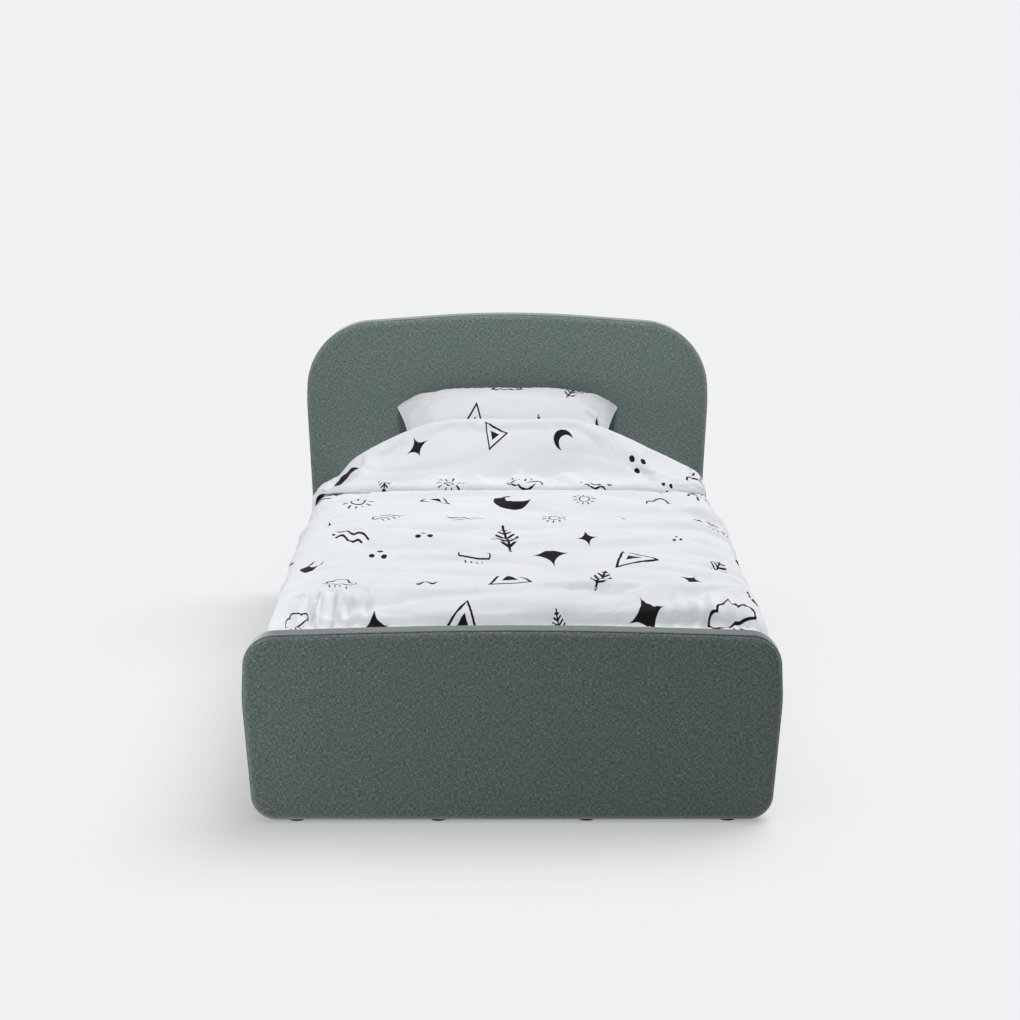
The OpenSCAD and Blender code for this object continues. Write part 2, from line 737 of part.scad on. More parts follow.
// ---- The bed ----
for (layer = BOARD_LAYERS) {
    board_layer(layer, HEAD);
    foot_layer(layer);
}
for (side = SIDES, layer = RAIL_LAYERS) {
    on_side(side) rail_layer(layer);
}
for (i = [1 : slat_count]) {
    slat(i);
}
slat_tapes();
slat_screws();
cleat_screws();
corner_brackets();
bracket_screws();
bracket_bolts();
board_tnuts();
mattress_core();
mattress_cover_top();
mattress_cover_base();
mattress_zip();
color("white") pillow_layer(1, 2);  // pillow_fill
color("#e6e9ec") pillow_layer(2, 3);  // pillow_case_front
color("#dfe2e5") pillow_layer(0, 1);  // pillow_case_back
color("white") duvet_layer(1);  // duvet_fill
color("#e4e8ec") duvet_layer(2);  // duvet_face
color("#dde1e5") duvet_layer(0);  // duvet_reverse
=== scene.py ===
import json
import math
from functools import reduce
from types import SimpleNamespace
import bmesh
import bpy
import numpy as np
from mathutils import Matrix, Vector, noise

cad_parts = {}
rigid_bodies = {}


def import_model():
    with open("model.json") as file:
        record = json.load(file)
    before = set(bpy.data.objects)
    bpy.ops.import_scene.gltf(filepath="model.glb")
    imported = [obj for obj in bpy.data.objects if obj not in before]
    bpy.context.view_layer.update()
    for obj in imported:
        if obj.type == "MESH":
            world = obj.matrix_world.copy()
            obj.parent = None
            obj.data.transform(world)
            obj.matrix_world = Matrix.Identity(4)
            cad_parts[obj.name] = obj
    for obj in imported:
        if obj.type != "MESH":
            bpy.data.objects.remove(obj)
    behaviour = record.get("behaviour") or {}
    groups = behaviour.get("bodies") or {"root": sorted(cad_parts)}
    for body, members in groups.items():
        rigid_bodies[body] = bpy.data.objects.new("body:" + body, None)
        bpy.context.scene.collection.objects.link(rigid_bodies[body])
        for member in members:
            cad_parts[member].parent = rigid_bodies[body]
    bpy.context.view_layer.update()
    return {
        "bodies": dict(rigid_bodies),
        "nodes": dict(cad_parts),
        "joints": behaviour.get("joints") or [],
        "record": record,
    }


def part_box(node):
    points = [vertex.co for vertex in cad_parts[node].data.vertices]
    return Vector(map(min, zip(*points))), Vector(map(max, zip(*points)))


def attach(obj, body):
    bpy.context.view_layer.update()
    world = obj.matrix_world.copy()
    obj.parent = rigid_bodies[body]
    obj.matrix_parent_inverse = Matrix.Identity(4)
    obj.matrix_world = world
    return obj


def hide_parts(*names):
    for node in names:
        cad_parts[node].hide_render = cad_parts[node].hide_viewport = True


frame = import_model()
cadNodes = frame["nodes"]
print("bed frame loaded:", len(cadNodes), "solids' nodes")


viewFromFoot = {
    "place": (-0.0273, -4.3737, 1.2182),
    "pitchDown": 11.618,   # degrees
    "yawRight": 0.369,
    "roll": 0.062,
    "lens": 90.55,
    "sensor": 36.0,
}


def setCamera(view):
    data = bpy.data.cameras.new("viewFromFoot")
    data.lens = view["lens"]
    data.sensor_width = view["sensor"]
    data.clip_end = 1000
    camera = bpy.data.objects.new("viewFromFoot", data)
    turn = (Matrix.Rotation(math.radians(-view["yawRight"]), 3, "Z")
            @ Matrix.Rotation(math.radians(90 - view["pitchDown"]), 3, "X")
            @ Matrix.Rotation(math.radians(view["roll"]), 3, "Z"))
    camera.rotation_euler = turn.to_euler()
    camera.location = view["place"]
    bpy.context.scene.collection.objects.link(camera)
    bpy.context.scene.camera = camera


setCamera(viewFromFoot)
print("camera set")


# small helpers for building shader nodes, all in the tree that is at hand
atHand = SimpleNamespace(tree=None, material=None)


def addNode(kind, inputs=None, **settings):
    node = atHand.tree.nodes.new("ShaderNode" + kind)
    for name, value in settings.items():
        setattr(node, name, value)
    for name, value in (inputs or {}).items():
        feed(value, node.inputs[name])
    return node


def feed(value, socket):
    if isinstance(value, bpy.types.NodeSocket):
        atHand.tree.links.new(value, socket)
    else:
        socket.default_value = value


def calc(operation, *values, clamp=False):
    node = addNode("Math", operation=operation, use_clamp=clamp)
    for socket, value in zip(node.inputs, values):
        feed(value, socket)
    return node.outputs[0]


def times(a, b):
    return calc("MULTIPLY", a, b)


def timesPlus(a, b, more):
    return calc("MULTIPLY_ADD", a, b, more)


def plus(a, b):
    return calc("ADD", a, b)


def below(a, b):
    return calc("LESS_THAN", a, b)


def sizeOf(a):
    return calc("ABSOLUTE", a)


def least(*values):
    return reduce(lambda a, b: calc("MINIMUM", a, b), values)


def most(*values):
    return reduce(lambda a, b: calc("MAXIMUM", a, b), values)


def axesOf(place):
    return addNode("SeparateXYZ", {"Vector": place}).outputs


def vectorCalc(operation, *values, scale=None):
    node = addNode("VectorMath", operation=operation)
    for socket, value in zip(node.inputs, values):
        feed(value, socket)
    if scale is not None:
        feed(scale, node.inputs["Scale"])
    return node.outputs["Value" if operation in ("LENGTH", "DISTANCE") else "Vector"]


def stretched(place, scale):
    return vectorCalc("MULTIPLY", place, scale)


def grainOf(place, scale, detail=2.0, rough=0.5, bent=0.0):
    inputs = {"Vector": place, "Scale": scale, "Detail": detail, "Roughness": rough, "Distortion": bent}
    return addNode("TexNoise", inputs).outputs["Fac"]


def ramp(value, stops):
    node = addNode("ValToRGB", {"Fac": value})
    elements = node.color_ramp.elements
    while len(elements) < len(stops):
        elements.new(0.5)
    for element, (at, color) in zip(elements, stops):
        element.position = at
        element.color = (*color, 1)
    return node.outputs["Color"]


def blendColor(share, first, second, mode="MIX"):
    node = addNode("Mix", data_type="RGBA", blend_type=mode)
    feed(share, node.inputs[0])
    for socket, value in ((node.inputs[6], first), (node.inputs[7], second)):
        if isinstance(value, tuple):
            value = (*value, 1)
        feed(value, socket)
    return node.outputs[2]


def bumpOf(height, distance, strength=1.0, under=None):
    node = addNode("Bump", {"Height": height, "Distance": distance, "Strength": strength})
    if under is not None:
        feed(under, node.inputs["Normal"])
    return node.outputs["Normal"]


def startMaterial(name, rough, specular=0.5, **more):
    atHand.material = bpy.data.materials.new(name)
    atHand.material.use_nodes = True
    atHand.tree = atHand.material.node_tree
    shader = atHand.tree.nodes["Principled BSDF"]
    for socket, value in {"Roughness": rough, "Specular IOR Level": specular, **more}.items():
        shader.inputs[socket].default_value = value
    return shader


def finishMaterial(shader, color, height, depth, strength, under=None):
    feed(color, shader.inputs["Base Color"])
    feed(bumpOf(height, depth, strength, under), shader.inputs["Normal"])
    return atHand.material


def clothPlace():
    return addNode("UVMap", uv_map="cloth").outputs["UV"]


def solidPlace():
    return addNode("TexCoord").outputs["Object"]


# upholstery cloth: melange yarns in a plain weave
upholstery = {
    "darkYarn": (0.012, 0.023, 0.020),
    "midYarn": (0.058, 0.083, 0.075),
    "lightYarn": (0.186, 0.224, 0.210),
    "yarnsPerMetre": 900,
    "weaveDepth": 0.0004,
}


def makeUpholstery(look):
    shader = startMaterial("melange_upholstery", 0.93, 0.2, **{"Sheen Weight": 0.72, "Sheen Roughness": 0.5})
    place = clothPlace()
    yarns = look["yarnsPerMetre"]
    warp = grainOf(stretched(place, (yarns, yarns * 0.22, 1)), 1.0, 3.0, 0.6)
    weft = grainOf(stretched(place, (yarns * 0.22, yarns, 1)), 1.0, 3.0, 0.6)
    fleck = timesPlus(plus(warp, weft), 0.5, 0.0)
    yarn = ramp(fleck, [(0.36, look["darkYarn"]), (0.50, look["midYarn"]), (0.64, look["lightYarn"])])
    cloud = grainOf(place, 14.0, 3.0, 0.55)
    tint = ramp(cloud, [(0.35, (0.94, 1.00, 0.98)), (0.65, (1.04, 1.00, 1.00))])
    across, along = (calc("SINE", times(axis, math.pi * yarns)) for axis in axesOf(place)[:2])
    weave = timesPlus(across, times(along, 0.5), fleck)
    color = blendColor(1.0, yarn, tint, "MULTIPLY")
    return finishMaterial(shader, color, weave, look["weaveDepth"], 0.8)


def makeWood(name, look):
    shader = startMaterial(name, look["roughness"], 0.35)
    place = solidPlace()
    grown = stretched(place, look["grainLies"])
    bend = grainOf(grown, 2.2, 3.0)
    rings = grainOf(grown, look["rings"], 5.0, 0.62, 0.35)
    pores = grainOf(stretched(place, tuple(3 * v for v in look["grainLies"])), look["rings"] * 9, 2.0)
    figure = timesPlus(pores, 0.25, timesPlus(bend, 0.35, times(rings, 0.55)))
    color = ramp(figure, [(0.42, look["dark"]), (0.56, look["mid"]), (0.72, look["light"])])
    return finishMaterial(shader, color, figure, 0.0005, 0.5)


def makePly(look):
    shader = startMaterial("birch_plywood", 0.62, 0.3)
    place = solidPlace()
    pair = calc("FRACT", times(axesOf(place)["Y"], look["pliesPerMetre"] / 2))
    plies = calc("GREATER_THAN", pair, 0.5)
    figure = grainOf(stretched(place, (2, 30, 40)), 1.5, 4.0, 0.6)
    face = ramp(figure, [(0.35, look["dark"]), (0.7, look["light"])])
    color = blendColor(times(plies, 0.3), face, look["dark"])
    return finishMaterial(shader, color, figure, 0.0003, 0.4)


def makeZinc(look):
    shader = startMaterial("zinc_plate", 0.35, Metallic=1.0)
    place = solidPlace()
    bloom = grainOf(place, 55.0, 3.0)
    brushed = grainOf(stretched(place, (400, 400, 2500)), 1.0, 2.0)
    color = ramp(bloom, [(0.3, look["dull"]), (0.7, look["bright"])])
    feed(timesPlus(bloom, 0.22, 0.24), shader.inputs["Roughness"])
    return finishMaterial(shader, color, brushed, 0.00008, 0.5)


def makeFoam(look):
    shader = startMaterial("open_cell_foam", 0.98, 0.1)
    place = solidPlace()
    cells = addNode("TexVoronoi", {"Vector": place, "Scale": 900.0}).outputs["Distance"]
    color = ramp(cells, [(0.1, look["pore"]), (0.55, look["skin"])])
    return finishMaterial(shader, color, cells, 0.0006, 0.8)


def makePlastic(name, look):
    shader = startMaterial(name, look["roughness"], 0.45)
    place = solidPlace()
    texture = grainOf(place, look["grain"], 2.0)
    color = ramp(grainOf(place, 60.0, 2.0), [(0.3, look["dark"]), (0.7, look["light"])])
    return finishMaterial(shader, color, texture, 0.0002, 0.5)


def makeTape(look):
    shader = startMaterial("cotton_tape", 0.9, 0.2, **{"Sheen Weight": 0.2})
    x, y = axesOf(solidPlace())[:2]
    twill = calc("SINE", times(plus(sizeOf(x), y), 2600.0))
    weft = calc("SINE", times(x, 5200.0))
    height = timesPlus(twill, 0.35, timesPlus(weft, 0.15, 0.5))
    color = ramp(height, [(0.1, look["dark"]), (0.8, look["light"])])
    return finishMaterial(shader, color, height, 0.0004, 0.8)


# bed linen: white percale with a loose black figure of moons, clouds, sprigs and the like
linen = {
    "white": (0.850, 0.864, 0.884),
    "ink": (0.008, 0.008, 0.010),
    "cell": (0.135, 0.160),   # spacing of the figures across and along the cloth
    "wander": (0.024, 0.026),   # how far a figure strays from its place in the repeat
    "halfWidth": (0.020, 0.052),
    "tall": 1.75,   # how much longer a figure is along the cloth than across
    "lean": 0.35,   # furthest a figure leans either way, in radians
    "penLine": 0.042,   # half the width of a pen line, as a share of a figure's half width
    "threadsPerMetre": 2600,
}


def discGap(point, centre, radius):   # distance outside a disc, negative inside it
    return calc("SUBTRACT", vectorCalc("DISTANCE", point, (*centre, 0.0)), radius)


def solidInk(gap):
    return below(gap, 0.0)


def penInk(gap, pen):
    return below(sizeOf(gap), pen)


# a figure is drawn from its spot: the point, its x and y, and half the width of a pen line
def moonInk(spot):
    bite = discGap(spot.point, (0.34, 0.20), 0.58)
    return solidInk(most(discGap(spot.point, (0, 0), 0.72), times(bite, -1.0)))


def sparkleInk(spot):
    reach = plus(*(calc("POWER", sizeOf(axis), 0.55) for axis in (spot.x, spot.y)))
    return below(reach, 0.86)


def cloudInk(spot):
    discs = (((-0.48, -0.02), 0.34), ((0.02, 0.16), 0.44), ((0.52, -0.02), 0.32))
    puffs = least(*(discGap(spot.point, *disc) for disc in discs))
    flatBase = timesPlus(spot.y, -1.0, -0.18)
    outline = penInk(most(puffs, flatBase), spot.pen)
    rain = calc("PINGPONG", timesPlus(spot.y, 0.45, spot.x), 0.15)
    drops = times(below(rain, spot.pen), calc("COMPARE", spot.y, -0.46, 0.11))
    within = below(sizeOf(spot.x), 0.5)
    return most(outline, times(drops, within))


def sprigInk(spot):
    fromStem = sizeOf(spot.x)
    rise = timesPlus(fromStem, -0.75, spot.y)
    leaves = below(calc("PINGPONG", rise, 0.115), times(spot.pen, 1.25))
    taper = timesPlus(sizeOf(plus(spot.y, 0.1)), -0.62, 0.52)
    leaves = times(leaves, below(fromStem, taper))
    stem = times(below(fromStem, spot.pen), calc("COMPARE", spot.y, -0.05, 0.78))
    return most(leaves, stem)


def peakInk(spot):
    side = timesPlus(sizeOf(spot.x), 0.86, timesPlus(spot.y, 0.50, -0.34))
    gap = most(side, timesPlus(spot.y, -1.0, -0.52))
    return most(penInk(gap, spot.pen), solidInk(plus(gap, 0.24)))


def sunInk(spot):
    ring = discGap(spot.point, (0, 0), 0.34)
    angle = calc("PINGPONG", calc("ARCTAN2", spot.y, spot.x), math.pi / 11)
    ray = below(times(angle, 0.68), times(spot.pen, 1.1))
    ray = times(ray, calc("COMPARE", ring, 0.30, 0.14))
    return most(penInk(ring, spot.pen), ray)


def waveInk(spot):
    crest = timesPlus(calc("SINE", times(spot.x, 9.0)), 0.07, spot.y)
    lines = below(calc("PINGPONG", crest, 0.14), spot.pen)
    flat = stretched(spot.point, (1.0, 2.3, 0.0))
    return times(lines, below(vectorCalc("LENGTH", flat), 0.85))


def berriesInk(spot):
    berries = (discGap(spot.point, at, 0.115) for at in ((-0.24, -0.14), (0.24, -0.14), (0.0, 0.26)))
    return solidInk(least(*berries))


figures = [moonInk, sprigInk, cloudInk, peakInk, berriesInk, sunInk, sparkleInk, waveInk]


def chanceIn(cells):   # the same chance numbers all over a cell
    return addNode("TexWhiteNoise", {"Vector": cells}, noise_dimensions="3D").outputs


def printedInk(place, look):   # 1 where the cloth is inked
    cell = (*look["cell"], 1.0)
    u, v = axesOf(place)[:2]
    row = calc("FLOOR", calc("DIVIDE", v, cell[1]))
    drop = times(calc("FLOORED_MODULO", row, 2.0), cell[0] * 0.5)   # half-drop repeat
    shifted = addNode("CombineXYZ", {"X": plus(u, drop), "Y": v}).outputs[0]
    cells = vectorCalc("FLOOR", vectorCalc("DIVIDE", shifted, cell))
    chance = chanceIn(cells)
    other = chanceIn(vectorCalc("ADD", cells, (7.3, 2.9, 0.0)))
    middle = stretched(vectorCalc("ADD", cells, (0.5, 0.5, 0.0)), cell)
    stray = stretched(vectorCalc("SUBTRACT", chance["Color"], (0.5, 0.5, 0.5)), (*look["wander"], 0.0))
    offset = vectorCalc("SUBTRACT", vectorCalc("SUBTRACT", shifted, middle), stray)
    low, high = look["halfWidth"]
    grow = calc("DIVIDE", 1.0, timesPlus(other["Value"], high - low, low))
    squat = stretched(offset, (1.0, 1.0 / look["tall"], 0.0))
    point = vectorCalc("SCALE", squat, scale=grow)
    lean = timesPlus(axesOf(other["Color"])[1], 2 * look["lean"], -look["lean"])
    point = addNode("VectorRotate", {"Vector": point, "Angle": lean}, rotation_type="Z_AXIS").outputs[0]
    point = stretched(point, (1.0, 1.0, 0.0))
    x, y = axesOf(point)[:2]
    spot = SimpleNamespace(point=point, x=x, y=y, pen=look["penLine"])
    # neighbours never share a figure: the kind steps along the rows and columns
    column, line = axesOf(cells)[:2]
    kind = plus(timesPlus(line, 3.0, times(column, 5.0)),
                calc("FLOOR", times(chance["Value"], 2.0)))
    kind = calc("FLOORED_MODULO", kind, float(len(figures)))
    marks = [times(draw(spot), calc("COMPARE", kind, float(number), 0.1))
             for number, draw in enumerate(figures)]
    return reduce(plus, marks)


def makeLinen(name, look, printed=True):
    shader = startMaterial(name, 0.9, 0.1, **{"Sheen Weight": 0.05, "Sheen Roughness": 0.5})
    place = clothPlace()
    cloud = grainOf(place, 8.0, 3.0)
    color = ramp(cloud, [(0.3, tuple(0.975 * v for v in look["white"])), (0.7, look["white"])])
    if printed:
        color = blendColor(printedInk(place, look), color, look["ink"])
    warp, weft = (calc("SINE", times(axis, look["threadsPerMetre"])) for axis in axesOf(place)[:2])
    weave = bumpOf(times(warp, weft), 0.00008, 0.4)
    rub = grainOf(place, 160.0, 3.0, 0.6)   # light creasing of washed cotton
    return finishMaterial(shader, color, rub, 0.0009, 0.35, weave)


materials = {
    "board_fabric": makeUpholstery(upholstery),
    "plywood": makePly({"dark": (0.42, 0.27, 0.14), "light": (0.68, 0.50, 0.31), "pliesPerMetre": 700}),
    "slat_wood": makeWood("planed_pine", {
        "grainLies": (3.0, 26.0, 30.0), "rings": 1.6, "roughness": 0.52,
        "dark": (0.46, 0.27, 0.12), "mid": (0.66, 0.46, 0.25), "light": (0.76, 0.58, 0.36)}),
    "rail_wood": makeWood("rail_pine", {
        "grainLies": (30.0, 2.4, 26.0), "rings": 1.6, "roughness": 0.55,
        "dark": (0.44, 0.26, 0.12), "mid": (0.64, 0.45, 0.25), "light": (0.74, 0.56, 0.35)}),
    "steel": makeZinc({"dull": (0.50, 0.51, 0.52), "bright": (0.74, 0.75, 0.76)}),
    "foam": makeFoam({"pore": (0.66, 0.58, 0.36), "skin": (0.86, 0.80, 0.58)}),
    "glide_plastic": makePlastic("black_nylon", {
        "roughness": 0.55, "grain": 900.0, "dark": (0.010, 0.010, 0.011), "light": (0.018, 0.018, 0.019)}),
    "zip_plastic": makePlastic("zip_coil", {
        "roughness": 0.5, "grain": 1400.0, "dark": (0.62, 0.62, 0.62), "light": (0.72, 0.72, 0.72)}),
    "webbing": makeTape({"dark": (0.50, 0.47, 0.40), "light": (0.76, 0.73, 0.66)}),
    "bed_linen": makeLinen("printed_percale", linen),
    "filling": makeLinen("plain_wadding_cloth", linen, printed=False),
    "ticking": makeLinen("mattress_ticking", linen, printed=False),
}
for part in frame["record"]["subparts"]:
    kind = part["material_slot"]
    if kind == "slat_wood" and part["node"].startswith("rail"):
        kind = "rail_wood"
    solid = cadNodes[part["node"]]
    solid.data.materials.clear()
    solid.data.materials.append(materials.get(kind, materials["filling"]))
print("materials made")


# sheets of quads: rows by columns of points, with cloth coordinates in metres for the weave and the print
def sheetOfQuads(points, cloth, closed=False, flip=False):
    rows, columns = points.shape[:2]
    wide = columns if closed else columns - 1
    r, c = np.meshgrid(np.arange(rows - 1), np.arange(wide), indexing="ij")
    n = (c + 1) % columns
    quads = np.stack([r * columns + c, r * columns + n, (r + 1) * columns + n, (r + 1) * columns + c], -1)
    corners = np.stack([cloth[r, c], cloth[r, c + 1], cloth[r + 1, c + 1], cloth[r + 1, c]], -2)
    if flip:
        quads, corners = quads[..., ::-1], corners[..., ::-1, :]
    return points.reshape(-1, 3), quads.reshape(-1, 4), corners.reshape(-1, 4, 2)


def buildPiece(name, sheets, material, body, weld=0.00002):
    points, faces, cloth = zip(*sheets)
    starts = np.cumsum([0] + [len(places) for places in points])
    faces = [quads + start for quads, start in zip(faces, starts)]
    points, faces, cloth = (np.concatenate(parts) for parts in (points, faces, cloth))
    mesh = bpy.data.meshes.new(name)
    mesh.from_pydata(points.tolist(), [], faces.tolist())
    layer = mesh.uv_layers.new(name="cloth")
    layer.data.foreach_set("uv", cloth.reshape(-1).astype(np.float32))
    joinSeams(mesh, weld)
    mesh.materials.append(material)
    mesh.polygons.foreach_set("use_smooth", [True] * len(mesh.polygons))
    piece = bpy.data.objects.new(name, mesh)
    bpy.context.scene.collection.objects.link(piece)
    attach(piece, body)
    return piece


def joinSeams(mesh, weld):
    work = bmesh.new()
    work.from_mesh(mesh)
    bmesh.ops.remove_doubles(work, verts=work.verts, dist=weld)
    bmesh.ops.dissolve_degenerate(work, edges=work.edges, dist=weld / 4)
    bmesh.ops.recalc_face_normals(work, faces=work.faces)
    work.to_mesh(mesh)
    work.free()


def unit(v):
    return v / np.linalg.norm(v)


def outwards(ring):   # unit vectors square to a closed ring of points
    tangent = np.roll(ring, -1, 0) - np.roll(ring, 1, 0)
    normal = np.stack([tangent[:, 1], -tangent[:, 0]], 1)
    return normal / np.linalg.norm(normal, axis=1, keepdims=True)


def roundedRing(corners, count):   # corners are (across, up, radius), anticlockwise
    dense = []
    for i, (cx, cy, radius) in enumerate(corners):
        before, corner = np.array(corners[i - 1][:2]), np.array((cx, cy))
        after = np.array(corners[(i + 1) % len(corners)][:2])
        a, b = unit(before - corner), unit(after - corner)
        half = math.acos(a @ b) / 2
        centre = corner + unit(a + b) * radius / math.sin(half)
        start = corner + a * radius / math.tan(half) - centre
        angle, turn = math.atan2(start[1], start[0]), math.pi - 2 * half
        for t in np.linspace(angle, angle + turn, max(4, int(turn / 0.02)) + 1):
            dense.append(centre + radius * np.array((math.cos(t), math.sin(t))))
    dense = np.array(dense + dense[:1])
    length = np.concatenate([[0], np.cumsum(np.linalg.norm(np.diff(dense, axis=0), axis=1))])
    at = np.linspace(0, length[-1], count, endpoint=False)
    ring = np.stack([np.interp(at, length, dense[:, k]) for k in (0, 1)], 1)
    return ring, at, length[-1]


def gridOf(*places):   # points whose coordinates may each be a row, a column, a whole grid or one number
    return np.stack(np.broadcast_arrays(*places), -1)


def softNoise(points, size, seed=0.0):   # noise from -1 to 1 over an array of points
    flat = np.asarray(points, float).reshape(-1, 3) / size + seed
    return np.array([noise.noise(p) for p in flat.tolist()]).reshape(np.shape(points)[:-1])


def bandCloth(along, around, steps):   # cloth that runs round a closed ring
    return gridOf(np.append(along, around)[None, :], steps[:, None])


def boxCorners(wide, long, radius):
    return [(side * wide / 2, end * long / 2, radius) for side, end in ((1, -1), (1, 1), (-1, 1), (-1, -1))]


# head and foot boards: foam-padded panels, the cover sewn from two panels and an edge band
boards = {   # reaches are measured out from the rails, drops down from the top
    "head": {"crown": 0.024, "crownRun": 0.150, "reach": 0.029, "widestDrop": 0.174,
             "topReach": 0.0225, "topRadius": 0.134, "seed": 3.0},
    "foot": {"crown": 0.009, "crownRun": 0.220, "reach": 0.025, "widestDrop": 0.107,
             "topReach": 0.0205, "topRadius": 0.048, "seed": 9.0},
}
boardShape = {
    "baseReach": 0.011, "baseRadius": 0.038, "waistRadius": 0.260,
    "edgeRound": 0.012,
    "seamAngle": 60.0,   # where the sewn join lies on the rounded edge, 90 being at the band
    "seamDepth": 0.0019, "seamHalfWidth": 0.0011,
    "swell": 0.0016,   # of the padded faces
    "unevenness": 0.0005, "lumpSize": 0.11,
    "puckerDepth": 0.00022, "puckerPitch": 0.013, "puckerSway": 0.05,
    "spineReach": 0.26,   # half the line in a panel's middle that its rows start from
    "panelShares": (0.0, 0.12, 0.25, 0.4, 0.55, 0.7, 0.82, 0.91),
    "rimInsets": (0.034, 0.028, 0.022, 0.016),   # less than the smallest corner's radius
    "columns": 760,
}


def boardCorners(size, shape, bottom, height):   # (across, up, radius), anticlockwise
    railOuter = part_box("rail_right_cover")[1][0]
    topCorner, cornerUp = railOuter + size["topReach"], height - size["crown"]
    share = size["crownRun"] / (2 * topCorner)
    peak = (height - cornerUp * share) / (1 - share)
    crown = (0.0, peak, size["crownRun"] * topCorner / (peak - cornerUp))
    right = [(railOuter + shape["baseReach"], bottom, shape["baseRadius"]),
             (railOuter + size["reach"], height - size["widestDrop"], shape["waistRadius"]),
             (topCorner, cornerUp, size["topRadius"])]
    return right + [crown] + [(-x, z, r) for x, z, r in reversed(right)]


def edgeSection(shape, thick):   # (inset, depth) from the front panel over the edge to the back panel
    r, seam = shape["edgeRound"], shape["seamAngle"]
    half = math.degrees(shape["seamHalfWidth"] / r)
    groove = [(seam + side * half, sunk) for side, sunk in
              ((-1.3, 0.0), (-0.9, 0.3), (-0.35, 1.0), (0.35, 1.0), (0.9, 0.3), (1.3, 0.0))]
    steps = [(angle, 0.0) for angle in (0, 9, 18, 27, 36, 44, 50)] + groove
    front = [(inset, 0.0) for inset in shape["rimInsets"]]
    for angle, sunk in steps + [(angle, 0.0) for angle in (74, 81, 90)]:
        a, reach = math.radians(angle), r - sunk * shape["seamDepth"]
        front.append((r - reach * math.sin(a), r - reach * math.cos(a)))
    middle = [(0.0, r + (thick - 2 * r) * k / 5) for k in range(1, 5)]
    joins = len(front) - 6   # first row past the groove's floor
    return front + middle + [(inset, thick - depth) for inset, depth in reversed(front)], joins


def makeBoard(end, size, shape):
    front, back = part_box(end + "_cover_front"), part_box(end + "_cover_back")
    bottom, height = front[0][2], round(front[1][2], 3)
    near = min(front[0][1], back[0][1])
    thick = max(front[1][1], back[1][1]) - near
    ring, along, around = roundedRing(boardCorners(size, shape, bottom, height), shape["columns"])
    normal = outwards(ring)
    section, joins = edgeSection(shape, thick)
    rim = ring - normal * section[0][0]
    spine = np.stack([np.clip(ring[:, 0], -shape["spineReach"], shape["spineReach"]),
                      np.full(len(ring), height / 2)], 1)
    # rows from the front panel's middle over the edge to the back panel's middle
    shares = shape["panelShares"]
    panel = [spine + (rim - spine) * share for share in shares]
    swells = [shape["swell"] * (1 - share ** 3) for share in shares]
    cloth = np.array(panel + [ring - normal * inset for inset, depth in section] + panel[::-1])
    places = [near - swell for swell in swells] + [near + depth for inset, depth in section]
    places += [near + thick + swell for swell in reversed(swells)]
    rows = gridOf(cloth[..., 0], np.array(places)[:, None], cloth[..., 1])
    # the padding gives the cloth a slight unevenness, most along the seams
    drift = softNoise(rows, shape["lumpSize"], size["seed"]) * shape["unevenness"]
    pucker = np.sin(along * 2 * math.pi / shape["puckerPitch"]
                    + 3 * softNoise(rows[0], shape["puckerSway"], 4.0)) * shape["puckerDepth"]
    byJoin = [math.exp(-((k - joins) / 3.5) ** 2) for k in range(len(section) // 2)]
    calm = [0.0] * len(shares)
    byJoin = np.array(calm + byJoin + [0.0] * (len(section) % 2) + byJoin[::-1] + calm)
    facing = np.sign(rows[:, :1, 1] - (near + thick / 2))
    rows[:, :, 1] += facing * (drift + byJoin[:, None] * pucker[None, :])
    first, final = len(shares) + joins, len(rows) - len(shares) - joins
    sheets = []
    for start, stop, banded in ((0, first, False), (first - 1, final + 1, True), (final, len(rows), False)):
        piece, spots = rows[start:stop], cloth[start:stop]
        if banded:
            steps = np.concatenate([[0], np.cumsum(np.linalg.norm(np.diff(piece[:, 0], axis=0), axis=1))])
            spots = bandCloth(along, around, steps)
        else:
            spots = np.concatenate([spots, spots[:, :1]], 1)
        sheets.append(sheetOfQuads(piece, spots, closed=True))
    board = buildPiece(end + "boardCover", sheets, materials["board_fabric"], "frame")
    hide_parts(end + "_cover_front", end + "_cover_band", end + "_cover_back")


for end, size in boards.items():
    makeBoard(end, size, boardShape)
print("boards covered")


# side rails: a thin pad under a sewn sleeve
rails = {
    "cornerRadius": 0.0075, "columns": 72, "rows": 170,
    "endGap": 0.0002,
    "sag": 0.0006, "crown": 0.0010,   # unevenness and swell of the padded face
    "seamWidth": 0.0012, "seamDepth": 0.0012, "seamIn": 0.002,
    "seeds": {"left": 6.0, "right": 2.0},
}


